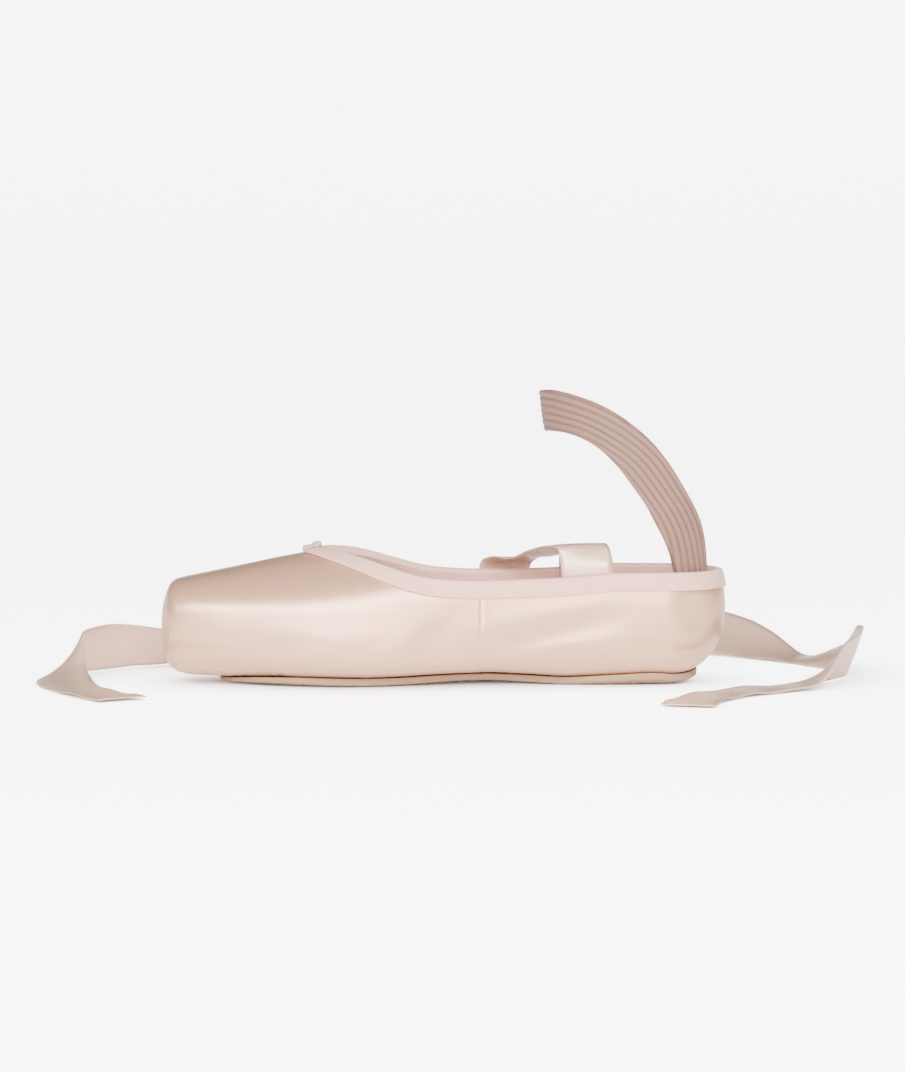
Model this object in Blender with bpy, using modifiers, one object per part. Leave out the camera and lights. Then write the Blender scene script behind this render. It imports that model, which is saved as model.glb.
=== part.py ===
"""Pointe shoe, standing flat and empty on its outsole. Metres, toe towards +X, +Z up.

The origin is on the floor under the middle of the shoe. Places along the shoe are
measured from the back of the heel. Every piece is worked out from one last: a table of
sections whose lower half is the feather side and whose upper half is the vamp side.
"""

import math

import bmesh
import bpy
import numpy as np

# Driving sizes
LENGTH = 0.240
HEEL_WIDTH = 0.0536
BALL_WIDTH = 0.079
PLATFORM_WIDTH = 0.042
HEEL_REACH = 0.027
INSTEP_HEIGHT = 0.056
HEEL_CROWN = 0.078
COLLAR_HEIGHT = 0.0474
PLATFORM_TOP = 0.0429
ARCH_LIFT = 0.002
TOE_LIFT = 0.0037
PLATFORM_CROWN = 0.004
VAMP_LENGTH = 0.067
THROAT_LENGTH = 0.052
THROAT_WIDTH = 0.066
QUARTER_WALL = 0.0016
BOX_WALL = 0.003
SOLE_THICKNESS = 0.0024
SOLE_TIP_THICKNESS = 0.0012
SOLE_HEEL_WIDTH = 0.039
SOLE_WAIST_WIDTH = 0.027
SOLE_BALL_WIDTH = 0.056
SOLE_HEEL_INSET = 0.012
SOLE_TOE_INSET = 0.025
LASTING_MARGIN = 0.007
INSOLE_THICKNESS = 0.0015
INSOLE_HEEL_INSET = 0.010
INSOLE_TOE_INSET = 0.016
BINDING_WIDTH = 0.0066
BINDING_THICKNESS = 0.0007
STRAP_THICKNESS = 0.0012
STRAP_HEIGHT = 0.124
ANKLE_WIDTH = 0.053
ANKLE_DEPTH = 0.066
RIBBON_WIDTH = 0.022
RIBBON_THICKNESS = 0.0006
CORD_DIAMETER = 0.0018
SOLE_SETTLING = 0.0006
GAP = 0.0003
SEAT_GAP = 0.0005
FOLD_GAP = 0.0005
CLOSEST_SECTIONS = 0.001

THROAT = LENGTH - VAMP_LENGTH
PLATFORM_EDGE = LENGTH - PLATFORM_CROWN
SOLE_TIP = LENGTH - SOLE_TOE_INSET
SEAM_CLOSED = SOLE_TIP - LASTING_MARGIN

WIDTHS = {"heel": HEEL_WIDTH, "ball": BALL_WIDTH, "toe": PLATFORM_WIDTH}
CROWNS = {"heel": HEEL_CROWN, "instep": INSTEP_HEIGHT, "toe": PLATFORM_TOP}
LIFTS = {"arch": ARCH_LIFT, "toe": TOE_LIFT}

# One row for each section of the last. at: share of the length. width, crown and lift:
# shares of the named size that they follow. wide: height of the widest point, share of
# the instep height. feather and vamp: how square the lower and upper corners are.
# collar: height of the topline, share of the collar height.
SECTION_COLUMNS = "at width_of width wide crown_of crown lift_of lift feather vamp collar".split()
HEEL_BACK = (0.0, "heel", 1.0, 0.554, "heel", 0.859, "arch", 0.0, 2.2, 2.2, 1.0)
SECTIONS = (
    (HEEL_REACH / LENGTH, "heel", 1.00, 0.464, "heel", 0.949, "arch", 0.0, 2.8, 2.3, 1.0),
    (0.188, "heel", 1.025, 0.429, "heel", 1.00, "arch", 0.0, 3.0, 2.3, 1.0),
    (0.271, "heel", 1.065, 0.393, "heel", 1.00, "arch", 0.0, 3.0, 2.3, 0.968),
    (0.354, "heel", 1.13, 0.357, "heel", 0.974, "arch", 0.6, 3.0, 2.3, 0.948),
    (0.433, "ball", 0.825, 0.339, "instep", 1.286, "arch", 1.0, 3.1, 2.3, 0.941),
    (0.504, "ball", 0.895, 0.321, "instep", 1.205, "arch", 0.8, 3.2, 2.3, 0.946),
    (0.583, "ball", 0.965, 0.313, "instep", 1.116, "arch", 0.25, 3.2, 2.3, 0.95),
    (0.658, "ball", 1.00, 0.313, "instep", 1.054, "arch", 0.0, 3.2, 2.3, 0.95),
    (0.729, "ball", 0.965, 0.321, "instep", 0.998, "arch", 0.0, 3.1, 2.3, 0.95),
    (0.792, "ball", 0.885, 0.339, "instep", 0.948, "arch", 0.0, 3.0, 2.35, 0.95),
    (0.854, "ball", 0.790, 0.366, "toe", 1.163, "arch", 0.0, 2.8, 2.45, 0.95),
    (0.917, "toe", 1.30, 0.402, "toe", 1.089, "toe", 0.05, 2.7, 2.6, 0.95),
    (0.958, "toe", 1.155, 0.42, "toe", 1.042, "toe", 0.25, 2.6, 2.7, 0.95),
    (0.973, "toe", 1.09, 0.434, "toe", 1.022, "toe", 0.50, 2.6, 2.7, 0.95),
    (PLATFORM_EDGE / LENGTH, "toe", 0.985, 0.438, "toe", 0.99, "toe", 1.0, 2.6, 2.7, 0.95),
)

# The outsole's outline. at: share of its length from its heel end. width: share of the
# named width. thick: share of the way from the full thickness to the skived tip.
OUTLINE_WIDTHS = {"heel": SOLE_HEEL_WIDTH, "waist": SOLE_WAIST_WIDTH, "ball": SOLE_BALL_WIDTH}
OUTSOLE = (
    (0.0, "heel", 0.10, 0.0),
    (0.012, "heel", 0.42, 0.0),
    (0.035, "heel", 0.72, 0.0),
    (0.07, "heel", 0.92, 0.0),
    (0.12, "heel", 1.0, 0.0),
    (0.20, "heel", 0.95, 0.0),
    (0.31, "waist", 1.10, 0.0),
    (0.41, "waist", 1.0, 0.0),
    (0.51, "waist", 1.25, 0.0),
    (0.61, "ball", 0.82, 0.0),
    (0.71, "ball", 0.98, 0.0),
    (0.78, "ball", 1.0, 0.05),
    (0.86, "ball", 0.90, 0.35),
    (0.93, "ball", 0.68, 0.7),
    (0.975, "ball", 0.42, 0.95),
    (0.993, "ball", 0.22, 1.0),
    (1.0, "ball", 0.06, 1.0),
)

# Share of the last's half width that the insole fills, from its heel end to its toe end.
INSOLE = (
    (0.0, 0.14), (0.012, 0.34), (0.04, 0.52), (0.09, 0.62), (0.2, 0.66), (0.5, 0.68),
    (0.8, 0.68), (0.92, 0.60), (0.97, 0.46), (0.99, 0.30), (1.0, 0.12),
)

# The form that the elastic lies on: the heel's lining below, the ankle above. height:
# share of the strap height. centre: share of the heel reach or of the length.
# depth and width: shares of the heel's inside or of the ankle.
ANKLE = (
    (0.26, "heel", 1.0, 0.905, 0.905),
    (0.40, "heel", 1.0, 0.905, 0.905),
    (0.56, "ankle", 0.133, 0.79, 0.93),
    (0.73, "ankle", 0.163, 0.91, 0.98),
    (0.86, "ankle", 0.180, 0.985, 1.0),
    (1.02, "ankle", 0.190, 1.0, 1.0),
)

# The elastic's two edges, from its sewn end to the front of the ankle. turn: degrees
# round the ankle from the back. height: share of the strap height.
STRAP = (
    (20, 0.27, 66, 0.285),
    (27, 0.385, 76, 0.395),
    (36, 0.52, 85, 0.52),
    (48, 0.645, 92, 0.63),
    (65, 0.79, 103, 0.75),
    (89, 0.90, 117, 0.825),
    (116, 0.965, 137, 0.86),
    (150, 0.998, 158, 0.865),
    (180, 1.0, 180, 0.86),
)

# Routes of the two ribbons, from the sewn end to the free end, in metres: x, y and z of
# the middle of the ribbon, then the way that its width points.
RIBBON_LEFT = (
    (-0.0610, 0.0230, 0.0330, 1.0, 0.06, 0.0),
    (-0.0610, 0.0228, 0.0430, 1.0, 0.06, 0.0),
    (-0.0605, 0.0222, 0.0520, 1.0, 0.07, 0.0),
    (-0.0590, 0.0185, 0.0580, 1.0, 0.12, 0.0),
    (-0.0545, 0.0110, 0.0590, 1.0, 0.30, 0.0),
    (-0.0460, -0.0030, 0.0555, 1.0, 0.45, 0.0),
    (-0.0370, -0.0170, 0.0515, 1.0, 0.45, 0.0),
    (-0.0305, -0.0275, 0.0505, 1.0, 0.30, 0.0),
    (-0.0270, -0.0345, 0.0470, 1.0, 0.10, 0.0),
    (-0.0260, -0.0362, 0.0350, 1.0, 0.04, 0.0),
    (-0.0255, -0.0372, 0.0200, 1.0, 0.0, 0.0),
    (-0.0245, -0.0400, 0.0070, 1.0, 0.05, 0.0),
    (-0.0225, -0.0480, 0.0012, 1.0, 0.2, 0.0),
    (-0.0170, -0.0640, 0.0016, 0.93, 0.35, 0.05),
    (-0.0040, -0.0830, 0.0085, 0.45, 0.55, 0.70),
    (0.0220, -0.0940, 0.0104, 0.10, 0.33, 0.94),
    (0.0500, -0.0900, 0.0085, -0.2, 0.65, 0.73),
    (0.0760, -0.0770, 0.0016, -0.42, 0.90, 0.06),
    (0.1000, -0.0650, 0.0024, -0.40, 0.88, 0.15),
    (0.1230, -0.0540, 0.0085, -0.30, 0.62, 0.72),
    (0.1450, -0.0380, 0.0104, -0.35, 0.20, 0.92),
    (0.1590, -0.0150, 0.0095, -0.50, 0.00, 0.86),
    (0.1620, 0.0100, 0.0030, -0.93, -0.10, 0.30),
    (0.1540, 0.0350, 0.0012, -0.95, -0.30, 0.0),
    (0.1430, 0.0570, 0.0012, -0.90, -0.42, 0.0),
    (0.1310, 0.0760, 0.0012, -0.82, -0.55, 0.0),
)
RIBBON_RIGHT = (
    (-0.0610, -0.0230, 0.0330, 1.0, -0.06, 0.0),
    (-0.0610, -0.0227, 0.0430, 1.0, -0.06, 0.0),
    (-0.0610, -0.0232, 0.0505, 1.0, -0.06, 0.0),
    (-0.0610, -0.0270, 0.0532, 1.0, -0.04, 0.0),
    (-0.0610, -0.0308, 0.0490, 1.0, -0.04, 0.0),
    (-0.0612, -0.0322, 0.0390, 1.0, -0.04, 0.0),
    (-0.0618, -0.0328, 0.0250, 1.0, 0.0, 0.0),
    (-0.0628, -0.0345, 0.0110, 1.0, 0.0, 0.0),
    (-0.0640, -0.0410, 0.0022, 1.0, -0.1, 0.0),
    (-0.0660, -0.0590, 0.0012, 0.98, -0.15, 0.0),
    (-0.0710, -0.0800, 0.0045, 0.80, -0.30, 0.38),
    (-0.0850, -0.1000, 0.0100, 0.30, -0.30, 0.90),
    (-0.1090, -0.1090, 0.0102, 0.00, -0.35, 0.93),
    (-0.1330, -0.1020, 0.0080, -0.35, -0.60, 0.70),
    (-0.1530, -0.0850, 0.0014, -0.66, -0.74, 0.05),
    (-0.1680, -0.0630, 0.0040, -0.75, -0.45, 0.35),
    (-0.1760, -0.0380, 0.0095, -0.45, -0.15, 0.88),
    (-0.1760, -0.0120, 0.0100, -0.35, 0.10, 0.92),
    (-0.1660, 0.0110, 0.0080, -0.45, 0.40, 0.75),
    (-0.1500, 0.0280, 0.0016, -0.68, 0.72, 0.10),
    (-0.1320, 0.0420, 0.0012, -0.62, 0.78, 0.0),
    (-0.1160, 0.0580, 0.0012, -0.74, 0.66, 0.0),
    (-0.1050, 0.0770, 0.0012, -0.85, 0.52, 0.0),
    (-0.0990, 0.0980, 0.0012, -0.93, 0.36, 0.0),
)
RIBBON_STATIONS = 80

# One end of the drawstring, from the knot: ahead of the throat, out to the side and lift
# above its rest, all in diameters of the string.
STRING_END = ((0.7, 0.0, 0.4), (1.9, 1.0, 0.2), (3.6, 1.8, 0.0))

SECTION_POINTS = 14
CAP_SHARES = (0.9, 0.72, 0.48, 0.24)
CORNER_PULL = 0.010
TOPLINE_BLEND = 7
THROAT_CURVE = (2.0, 0.64)
WIDEST = math.pi / 2


def smooth(at, places, rows):
    """Each column's value at a place, on a smooth curve that never overshoots its rows."""
    places, rows = np.asarray(places, float), np.asarray(rows, float)
    secants = (np.diff(rows, axis=0).T / np.diff(places)).T
    slopes = np.gradient(rows, places, axis=0)
    before, after = secants[:-1], secants[1:]
    least = 3 * np.minimum(abs(before), abs(after)) * (before * after > 0)
    slopes[1:-1] = np.clip(slopes[1:-1], -least, least)
    at = float(np.clip(at, places[0], places[-1]))
    k = min(max(int(np.searchsorted(places, at)) - 1, 0), len(places) - 2)
    step = places[k + 1] - places[k]
    t = (at - places[k]) / step
    start = (1 + 2 * t) * (1 - t) ** 2 * rows[k] + t * (1 - t) ** 2 * step * slopes[k]
    end = t * t * (3 - 2 * t) * rows[k + 1] + t * t * (t - 1) * step * slopes[k + 1]
    return start + end


def section_sizes(row):
    """A section's sizes in metres: half width, widest height, crown, keel, corners, collar."""
    row = dict(zip(SECTION_COLUMNS, row))
    lift = LIFTS[row["lift_of"]] * row["lift"]
    return (
        WIDTHS[row["width_of"]] * row["width"] / 2,
        INSTEP_HEIGHT * row["wide"],
        CROWNS[row["crown_of"]] * row["crown"],
        SOLE_THICKNESS + SEAT_GAP + lift,
        row["feather"],
        row["vamp"],
        COLLAR_HEIGHT * row["collar"],
    )


SECTION_PLACES = [row[0] * LENGTH for row in SECTIONS]
SECTION_SIZES = [section_sizes(row) for row in SECTIONS]
BACK_SIZES = np.array(section_sizes(HEEL_BACK))


def section_at(track):
    """The section at a place on the track: round the heel up to HEEL_REACH, then straight."""
    if track >= HEEL_REACH:
        return smooth(track, SECTION_PLACES, SECTION_SIZES)
    side = math.sin(WIDEST * track / HEEL_REACH) ** 2
    return BACK_SIZES * (1 - side) + np.array(SECTION_SIZES[0]) * side


def last_point(track, angle, proud=0.0):
    """A point of the last. angle: -90 degrees at the keel, 0 at the widest, 90 at the crown."""
    half, wide, crown, keel, feather, vamp, _ = section_at(track)
    square = vamp if angle > 0 else feather
    reach = max(math.cos(angle), 0.0) ** (2 / square)
    rise = abs(math.sin(angle)) ** (2 / square)
    z = wide + (crown - wide) * rise if angle > 0 else wide - (wide - keel) * rise
    if track >= HEEL_REACH:
        point = np.array([track, half * reach, z])
    else:
        turn = WIDEST * track / HEEL_REACH
        back = HEEL_REACH * math.cos(turn) * reach
        point = np.array([HEEL_REACH - back, half * math.sin(turn) * reach, z])
    if proud:
        point = point + proud * last_normal(track, angle)
    return point


def last_normal(track, angle):
    """The way out of the last at a point, from its neighbours on the track and the girth."""
    step, turn = LENGTH / 600, 0.01
    low, high = max(angle - turn, -WIDEST + 1e-4), min(angle + turn, WIDEST - 1e-4)
    near = max(track, step)
    along = last_point(near + step, angle) - last_point(near - step, angle)
    round_up = last_point(near, high) - last_point(near, low)
    normal = np.cross(round_up, along)
    normal = normal / max(np.linalg.norm(normal), 1e-12)
    if track == 0.0:
        normal[1] = 0.0
    return normal


def girth_of(share, square):
    """The angle at which a section has this share of its half width."""
    return math.acos(min(max(share, 0.0), 1.0) ** (square / 2))


def located(point):
    """The track and angle of the last's point that lies under a point near it."""
    place, side, z = point
    track, reach = place, 0.0
    if place < HEEL_REACH:
        half = section_at(HEEL_REACH)[0]
        turn = math.atan2(max(side, 0.0) / half, (HEEL_REACH - place) / HEEL_REACH)
        track = HEEL_REACH * turn / WIDEST
        reach = math.hypot(side / half, (HEEL_REACH - place) / HEEL_REACH)
    half, wide, crown, _, _, vamp, _ = section_at(track)
    if place >= HEEL_REACH:
        reach = side / half
    rise = max((z - wide) / (crown - wide), 0.0)
    return track, math.atan2(rise ** (vamp / 2), max(reach, 0.0) ** (vamp / 2))


def topline_angle(track):
    """How far up the girth the topline sits. 90 degrees means that the vamp is closed."""
    if track >= THROAT:
        return WIDEST
    half, wide, crown, _, _, vamp, collar = section_at(track)
    by_height = math.asin(((collar - wide) / (crown - wide)) ** (vamp / 2))
    open_share = max(1 - (THROAT - track) / THROAT_LENGTH, 0.0)
    squareness, roundness = THROAT_CURVE
    throat = THROAT_WIDTH / 2 * (1 - open_share**squareness) ** roundness
    by_throat = girth_of(throat / half, vamp)
    blended = (by_height**TOPLINE_BLEND + by_throat**TOPLINE_BLEND) ** (1 / TOPLINE_BLEND)
    return min(blended, WIDEST)


def wall_at(track):
    """The wall: thin quarters, and the stiff box from the throat to the platform."""
    share = min(max((track - THROAT + THROAT_LENGTH / 2) / (THROAT_LENGTH * 0.8), 0), 1)
    return QUARTER_WALL + (BOX_WALL - QUARTER_WALL) * share * share * (3 - 2 * share)


def keel_height(place, side):
    """Height of the last's underside over a point of the floor."""
    half, wide, _, keel, feather, _, _ = section_at(max(place, HEEL_REACH))
    reach = abs(side) / half
    if place < HEEL_REACH:
        back = (HEEL_REACH - place) / HEEL_REACH
        track = HEEL_REACH * math.atan2(abs(side) / half, back) / WIDEST
        _, wide, _, keel, feather, _, _ = section_at(track)
        reach = math.hypot(abs(side) / half, back)
    drop = (1 - min(reach, 1.0) ** feather) ** (1 / feather)
    return wide - (wide - keel) * drop


def keel_offset(place, side, depth):
    """Height of a surface that lies a depth inside the last's underside, square to it."""
    step = LENGTH / 480
    across = (keel_height(place, side + step) - keel_height(place, side - step)) / (2 * step)
    along = (keel_height(place + step, side) - keel_height(place - step, side)) / (2 * step)
    return keel_height(place, side) + depth * math.sqrt(1 + across**2 + along**2)


def outsole_sizes(place):
    """Half width and thickness of the outsole at a place along the shoe."""
    share = (place - SOLE_HEEL_INSET) / (SOLE_TIP - SOLE_HEEL_INSET)
    rows = [(OUTLINE_WIDTHS[of] * width / 2, thin) for _, of, width, thin in OUTSOLE]
    half, thin = smooth(share, [row[0] for row in OUTSOLE], rows)
    return half, SOLE_THICKNESS + (SOLE_TIP_THICKNESS - SOLE_THICKNESS) * thin


def opening_angle(track):
    """Where the upper's lasting margin ends under the outsole."""
    half, *_, feather, _, _ = section_at(track)
    if track >= SEAM_CLOSED:
        return -WIDEST
    if track < HEEL_REACH:
        opening = SOLE_HEEL_WIDTH / 2 - LASTING_MARGIN
    else:
        width = outsole_sizes(track)[0] - LASTING_MARGIN
        closing = math.sqrt(max(SEAM_CLOSED - track, 0.0) / LASTING_MARGIN)
        opening = max(width, LASTING_MARGIN) * min(closing, 1.0)
    return -girth_of(opening / half, feather)


def half_section(track):
    """The upper's half section, its points closest where the girth bends most."""
    angles = np.linspace(opening_angle(track), topline_angle(track), 240)
    points = np.array([last_point(track, angle) for angle in angles])
    steps = np.diff(points, axis=0)
    lengths = np.linalg.norm(steps, axis=1)
    ways = steps / np.maximum(lengths[:, None], 1e-9)
    bends = np.arccos(np.clip((ways[:-1] * ways[1:]).sum(axis=1), -1, 1))
    weight = lengths + CORNER_PULL * np.concatenate([[0], bends])
    total = np.concatenate([[0], np.cumsum(weight)])
    shares = np.linspace(0, total[-1], SECTION_POINTS)
    return np.array([[np.interp(s, total, points[:, k]) for k in range(3)] for s in shares])


def upper_tracks():
    """Places of the upper's sections: round the heel, along the sides, close at the throat."""
    close = CLOSEST_SECTIONS
    heel = [HEEL_REACH * k / 7 for k in range(7)]
    side = list(np.linspace(HEEL_REACH, THROAT - THROAT_LENGTH, 10))
    curve = [THROAT - THROAT_LENGTH * share**1.5 for share in np.linspace(0.95, 0.0, 16)]
    box = list(np.linspace(THROAT + 3.5 * close, SEAM_CLOSED - 5 * close, 5))
    pleats = [SEAM_CLOSED - 1.5 * close, SEAM_CLOSED]
    toe = list(np.linspace(SEAM_CLOSED + 6 * close, PLATFORM_EDGE - 6 * close, 3))
    edge = [PLATFORM_EDGE - 3 * close, PLATFORM_EDGE - close, PLATFORM_EDGE]
    return heel + side + curve + box + pleats + toe + edge


def platform_rows(ring):
    """The platform: the last section drawn in to the middle, on a low crown."""
    low, high = ring[:, 2].min(), ring[:, 2].max()
    middle = np.array([0.0, 0.0, (low + high) / 2])
    rows = []
    for share in CAP_SHARES + (0.0,):
        row = middle + (ring - middle) * share
        row[:, 0] = PLATFORM_EDGE + PLATFORM_CROWN * (1 - share**2.4)
        rows.append(row)
    return rows


def placed(point):
    """From a place measured from the heel to the frame of the whole shoe."""
    return (point[0] - LENGTH / 2, point[1], point[2])


def skin(mesh, rows, ringed=False, capped=False):
    """Faces between rows of points. ringed: each row closes on itself."""
    verts = [[mesh.verts.new(placed(point)) for point in row] for row in rows]
    count = len(rows[0])
    for first, second in zip(verts, verts[1:]):
        for k in range(count if ringed else count - 1):
            after = (k + 1) % count
            mesh.faces.new((first[k], first[after], second[after], second[k]))
    if capped:
        mesh.faces.new(verts[0][::-1])
        mesh.faces.new(verts[-1])
    bmesh.ops.remove_doubles(mesh, verts=mesh.verts, dist=1e-6)
    bmesh.ops.dissolve_degenerate(mesh, dist=1e-7, edges=mesh.edges)
    bmesh.ops.recalc_face_normals(mesh, faces=mesh.faces)
    return verts


def add_object(name, mesh, material, collection):
    data = bpy.data.meshes.new(name)
    mesh.to_mesh(data)
    mesh.free()
    data.materials.append(material)
    data.shade_smooth()
    data.set_sharp_from_angle(angle=math.radians(40))
    made = bpy.data.objects.new(name, data)
    collection.objects.link(made)
    return made


def mirror_sides(made):
    mirror = made.modifiers.new("both sides", "MIRROR")
    mirror.use_axis = (False, True, False)
    mirror.merge_threshold = 0.00002


def face_outwards(mesh):
    """An open shell turned so that its faces point away from the inside of the shoe."""
    inside = np.array(placed((LENGTH / 2, 0.0, INSTEP_HEIGHT / 3)))
    score = 0.0
    for face in mesh.faces:
        middle = np.array(face.calc_center_median())
        score += face.calc_area() * float(np.dot(middle - inside, face.normal))
    if score < 0:
        bmesh.ops.reverse_faces(mesh, faces=mesh.faces)


def make_upper(material, collection):
    """Satin over canvas, lasted under the foot: one wall, open at the collar and underneath."""
    tracks = upper_tracks()
    rows = [half_section(track) for track in tracks]
    rows += platform_rows(rows[-1])
    mesh = bmesh.new()
    skin(mesh, rows)
    for vert in mesh.verts:
        if abs(vert.co.y) < 1e-5:
            vert.co.y = 0.0
    mesh.normal_update()
    face_outwards(mesh)
    upper = add_object("upper", mesh, material, collection)
    stiff = upper.vertex_groups.new(name="box")
    for vert in upper.data.vertices:
        share = (wall_at(vert.co.x + LENGTH / 2) - QUARTER_WALL) / (BOX_WALL - QUARTER_WALL)
        stiff.add([vert.index], share, "REPLACE")
    mirror_sides(upper)
    wall = upper.modifiers.new("wall", "SOLIDIFY")
    wall.thickness = BOX_WALL
    wall.offset = -1
    wall.use_even_offset = True
    wall.vertex_group = "box"
    wall.thickness_vertex_group = QUARTER_WALL / BOX_WALL


def plate_rows(places, half_at, top_at, under_at, across):
    """Rings of a plate: its underside from side to side, then its top back again."""
    rows = []
    for place in places:
        half = half_at(place)
        sides = [half * share for share in across]
        under = [(place, side, under_at(place, side)) for side in sides]
        top = [(place, side, top_at(place, side)) for side in reversed(sides)]
        rows.append(np.array(under + top))
    return rows


def end_to_end(start, end, count):
    """Places that lie closer together towards both ends."""
    angles = np.linspace(0, math.pi, count)
    return start + (end - start) * (1 - np.cos(angles)) / 2


def make_outsole(material, collection):
    """Leather outsole, pressed flat at heel and ball, skived thin towards the toe pleats."""
    def half_at(place):
        return outsole_sizes(place)[0]

    def top_at(place, side):
        return keel_offset(place, side, -SEAT_GAP)

    def under_at(place, side):
        thickness = outsole_sizes(place)[1]
        under = top_at(place, side) - thickness
        base = section_at(max(place, HEEL_REACH))[3] - SEAT_GAP - thickness
        return base + max(under - base - SOLE_SETTLING, 0.0)

    across = (-1, -0.86, -0.6, -0.3, 0, 0.3, 0.6, 0.86, 1)
    places = end_to_end(SOLE_HEEL_INSET, SOLE_TIP, 30)
    mesh = bmesh.new()
    skin(mesh, plate_rows(places, half_at, top_at, under_at, across), True, True)
    add_object("outsole", mesh, material, collection)


def make_insole(material, collection):
    """Sock lining that lies on the lasting margin, cupped a little by the last."""
    start, end = INSOLE_HEEL_INSET, LENGTH - INSOLE_TOE_INSET

    def half_at(place):
        share = (place - start) / (end - start)
        width = smooth(share, [row[0] for row in INSOLE], [row[1:] for row in INSOLE])[0]
        return section_at(max(place, HEEL_REACH))[0] * width

    def under_at(place, side):
        return keel_offset(place, side, wall_at(place) + SEAT_GAP)

    def top_at(place, side):
        return keel_offset(place, side, wall_at(place) + SEAT_GAP + INSOLE_THICKNESS)

    across = (-1, -0.7, -0.35, 0, 0.35, 0.7, 1)
    places = end_to_end(start, end, 26)
    mesh = bmesh.new()
    skin(mesh, plate_rows(places, half_at, top_at, under_at, across), True, True)
    add_object("insole", mesh, material, collection)


def binding_profile():
    """The folded tape's section: distance down from the topline, height off the outer face
    of the upper or, where inside is true, off its inner face."""
    out, width = FOLD_GAP + BINDING_THICKNESS, BINDING_WIDTH
    return (
        (width, FOLD_GAP, False), (width, out, False), (width / 2, out, False), (0.0, out, False),
        (-out, 0.0, False), (-out, 0.0, True), (0.0, out, True), (width / 2, out, True),
        (width, out, True), (width, FOLD_GAP, True), (width / 2, FOLD_GAP, True),
        (-FOLD_GAP, FOLD_GAP, True), (-FOLD_GAP, FOLD_GAP, False), (width / 2, FOLD_GAP, False),
    )


def make_binding(material, collection):
    """Folded tape round the topline, which holds the drawstring."""
    tracks = [track for track in upper_tracks() if track <= THROAT]
    edge = [last_point(track, topline_angle(track)) for track in tracks]
    flip = np.array([1, -1, 1])
    whole = [edge[1] * flip] + edge + [edge[-2] * flip]
    rows = []
    for k, track in enumerate(tracks):
        along = whole[k + 2] - whole[k]
        normal = last_normal(track, min(topline_angle(track), WIDEST - 0.03))
        if k in (0, len(tracks) - 1):
            along, normal = np.array([0, along[1], 0]), normal * np.array([1, 0, 1])
        down = np.cross(along, normal)
        down = down / np.linalg.norm(down)
        if k < len(tracks) - 1 and down[2] > 0 or k == len(tracks) - 1 and down[0] < 0:
            down = -down
        row = []
        for distance, height, inside in binding_profile():
            spot, angle = located(edge[k] + down * distance)
            proud = -wall_at(spot) - height if inside else height
            point = last_point(spot, min(angle, WIDEST - 1e-4), proud)
            if k in (0, len(tracks) - 1):
                point[1] = 0.0
            row.append(point)
        rows.append(np.array(row))
    mesh = bmesh.new()
    skin(mesh, rows, ringed=True)
    binding = add_object("topline_binding", mesh, material, collection)
    mirror_sides(binding)


def make_drawstring(material, collection):
    """The drawstring's knot and its two short ends, on the binding at the throat."""
    rest = FOLD_GAP + BINDING_THICKNESS + 2 * GAP + CORD_DIAMETER / 2
    ends = []
    for side in (-1, 1):
        route = []
        for ahead, out, lift in np.array(STRING_END) * CORD_DIAMETER:
            half, *_, vamp, _ = section_at(THROAT + ahead)
            point = last_point(THROAT + ahead, girth_of(out / half, vamp), rest)
            point[1] *= side
            point[2] += lift
            route.append(placed(point))
        curve = bpy.data.curves.new("end", "CURVE")
        curve.dimensions = "3D"
        curve.bevel_depth = CORD_DIAMETER / 2
        curve.bevel_resolution = 2
        curve.use_fill_caps = True
        spline = curve.splines.new("POLY")
        spline.points.add(len(route) - 1)
        for point, place in zip(spline.points, route):
            point.co = (*place, 1)
        ends.append(as_mesh(curve, material, collection))
    mesh = bmesh.new()
    bmesh.ops.create_uvsphere(mesh, u_segments=14, v_segments=8, radius=CORD_DIAMETER * 1.25)
    middle = placed(last_point(THROAT + CORD_DIAMETER / 3, WIDEST - 1e-3, rest + CORD_DIAMETER / 2))
    bmesh.ops.scale(mesh, vec=(1.0, 1.25, 0.9), verts=mesh.verts)
    bmesh.ops.translate(mesh, vec=middle, verts=mesh.verts)
    knot = add_object("drawstring_knot", mesh, material, collection)
    for cutter in ends:
        union = knot.modifiers.new("end", "BOOLEAN")
        union.operation = "UNION"
        union.solver = "EXACT"
        union.object = cutter


def as_mesh(curve, material, collection):
    """A curve made a closed mesh object, kept out of the render as a tool for a join."""
    shape = bpy.data.objects.new("shape", curve)
    collection.objects.link(shape)
    bpy.context.view_layer.update()
    graph = bpy.context.evaluated_depsgraph_get()
    data = bpy.data.meshes.new_from_object(shape.evaluated_get(graph))
    bpy.data.objects.remove(shape)
    mesh = bmesh.new()
    mesh.from_mesh(data)
    bmesh.ops.remove_doubles(mesh, verts=mesh.verts, dist=1e-6)
    bmesh.ops.recalc_face_normals(mesh, faces=mesh.faces)
    made = add_object("drawstring_end", mesh, material, bpy.data.collections["tools"])
    made.hide_render = True
    made.display_type = "WIRE"
    return made


def ankle_sizes():
    """Rows of the form under the elastic: its middle, half depth and half width."""
    lining = QUARTER_WALL + FOLD_GAP + BINDING_THICKNESS + GAP + STRAP_THICKNESS
    forms = {
        "heel": (HEEL_REACH, HEEL_REACH - lining, HEEL_WIDTH / 2 - lining),
        "ankle": (LENGTH, ANKLE_DEPTH / 2, ANKLE_WIDTH / 2),
    }
    return [np.array(forms[of]) * shares for _, of, *shares in ANKLE]


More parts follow.
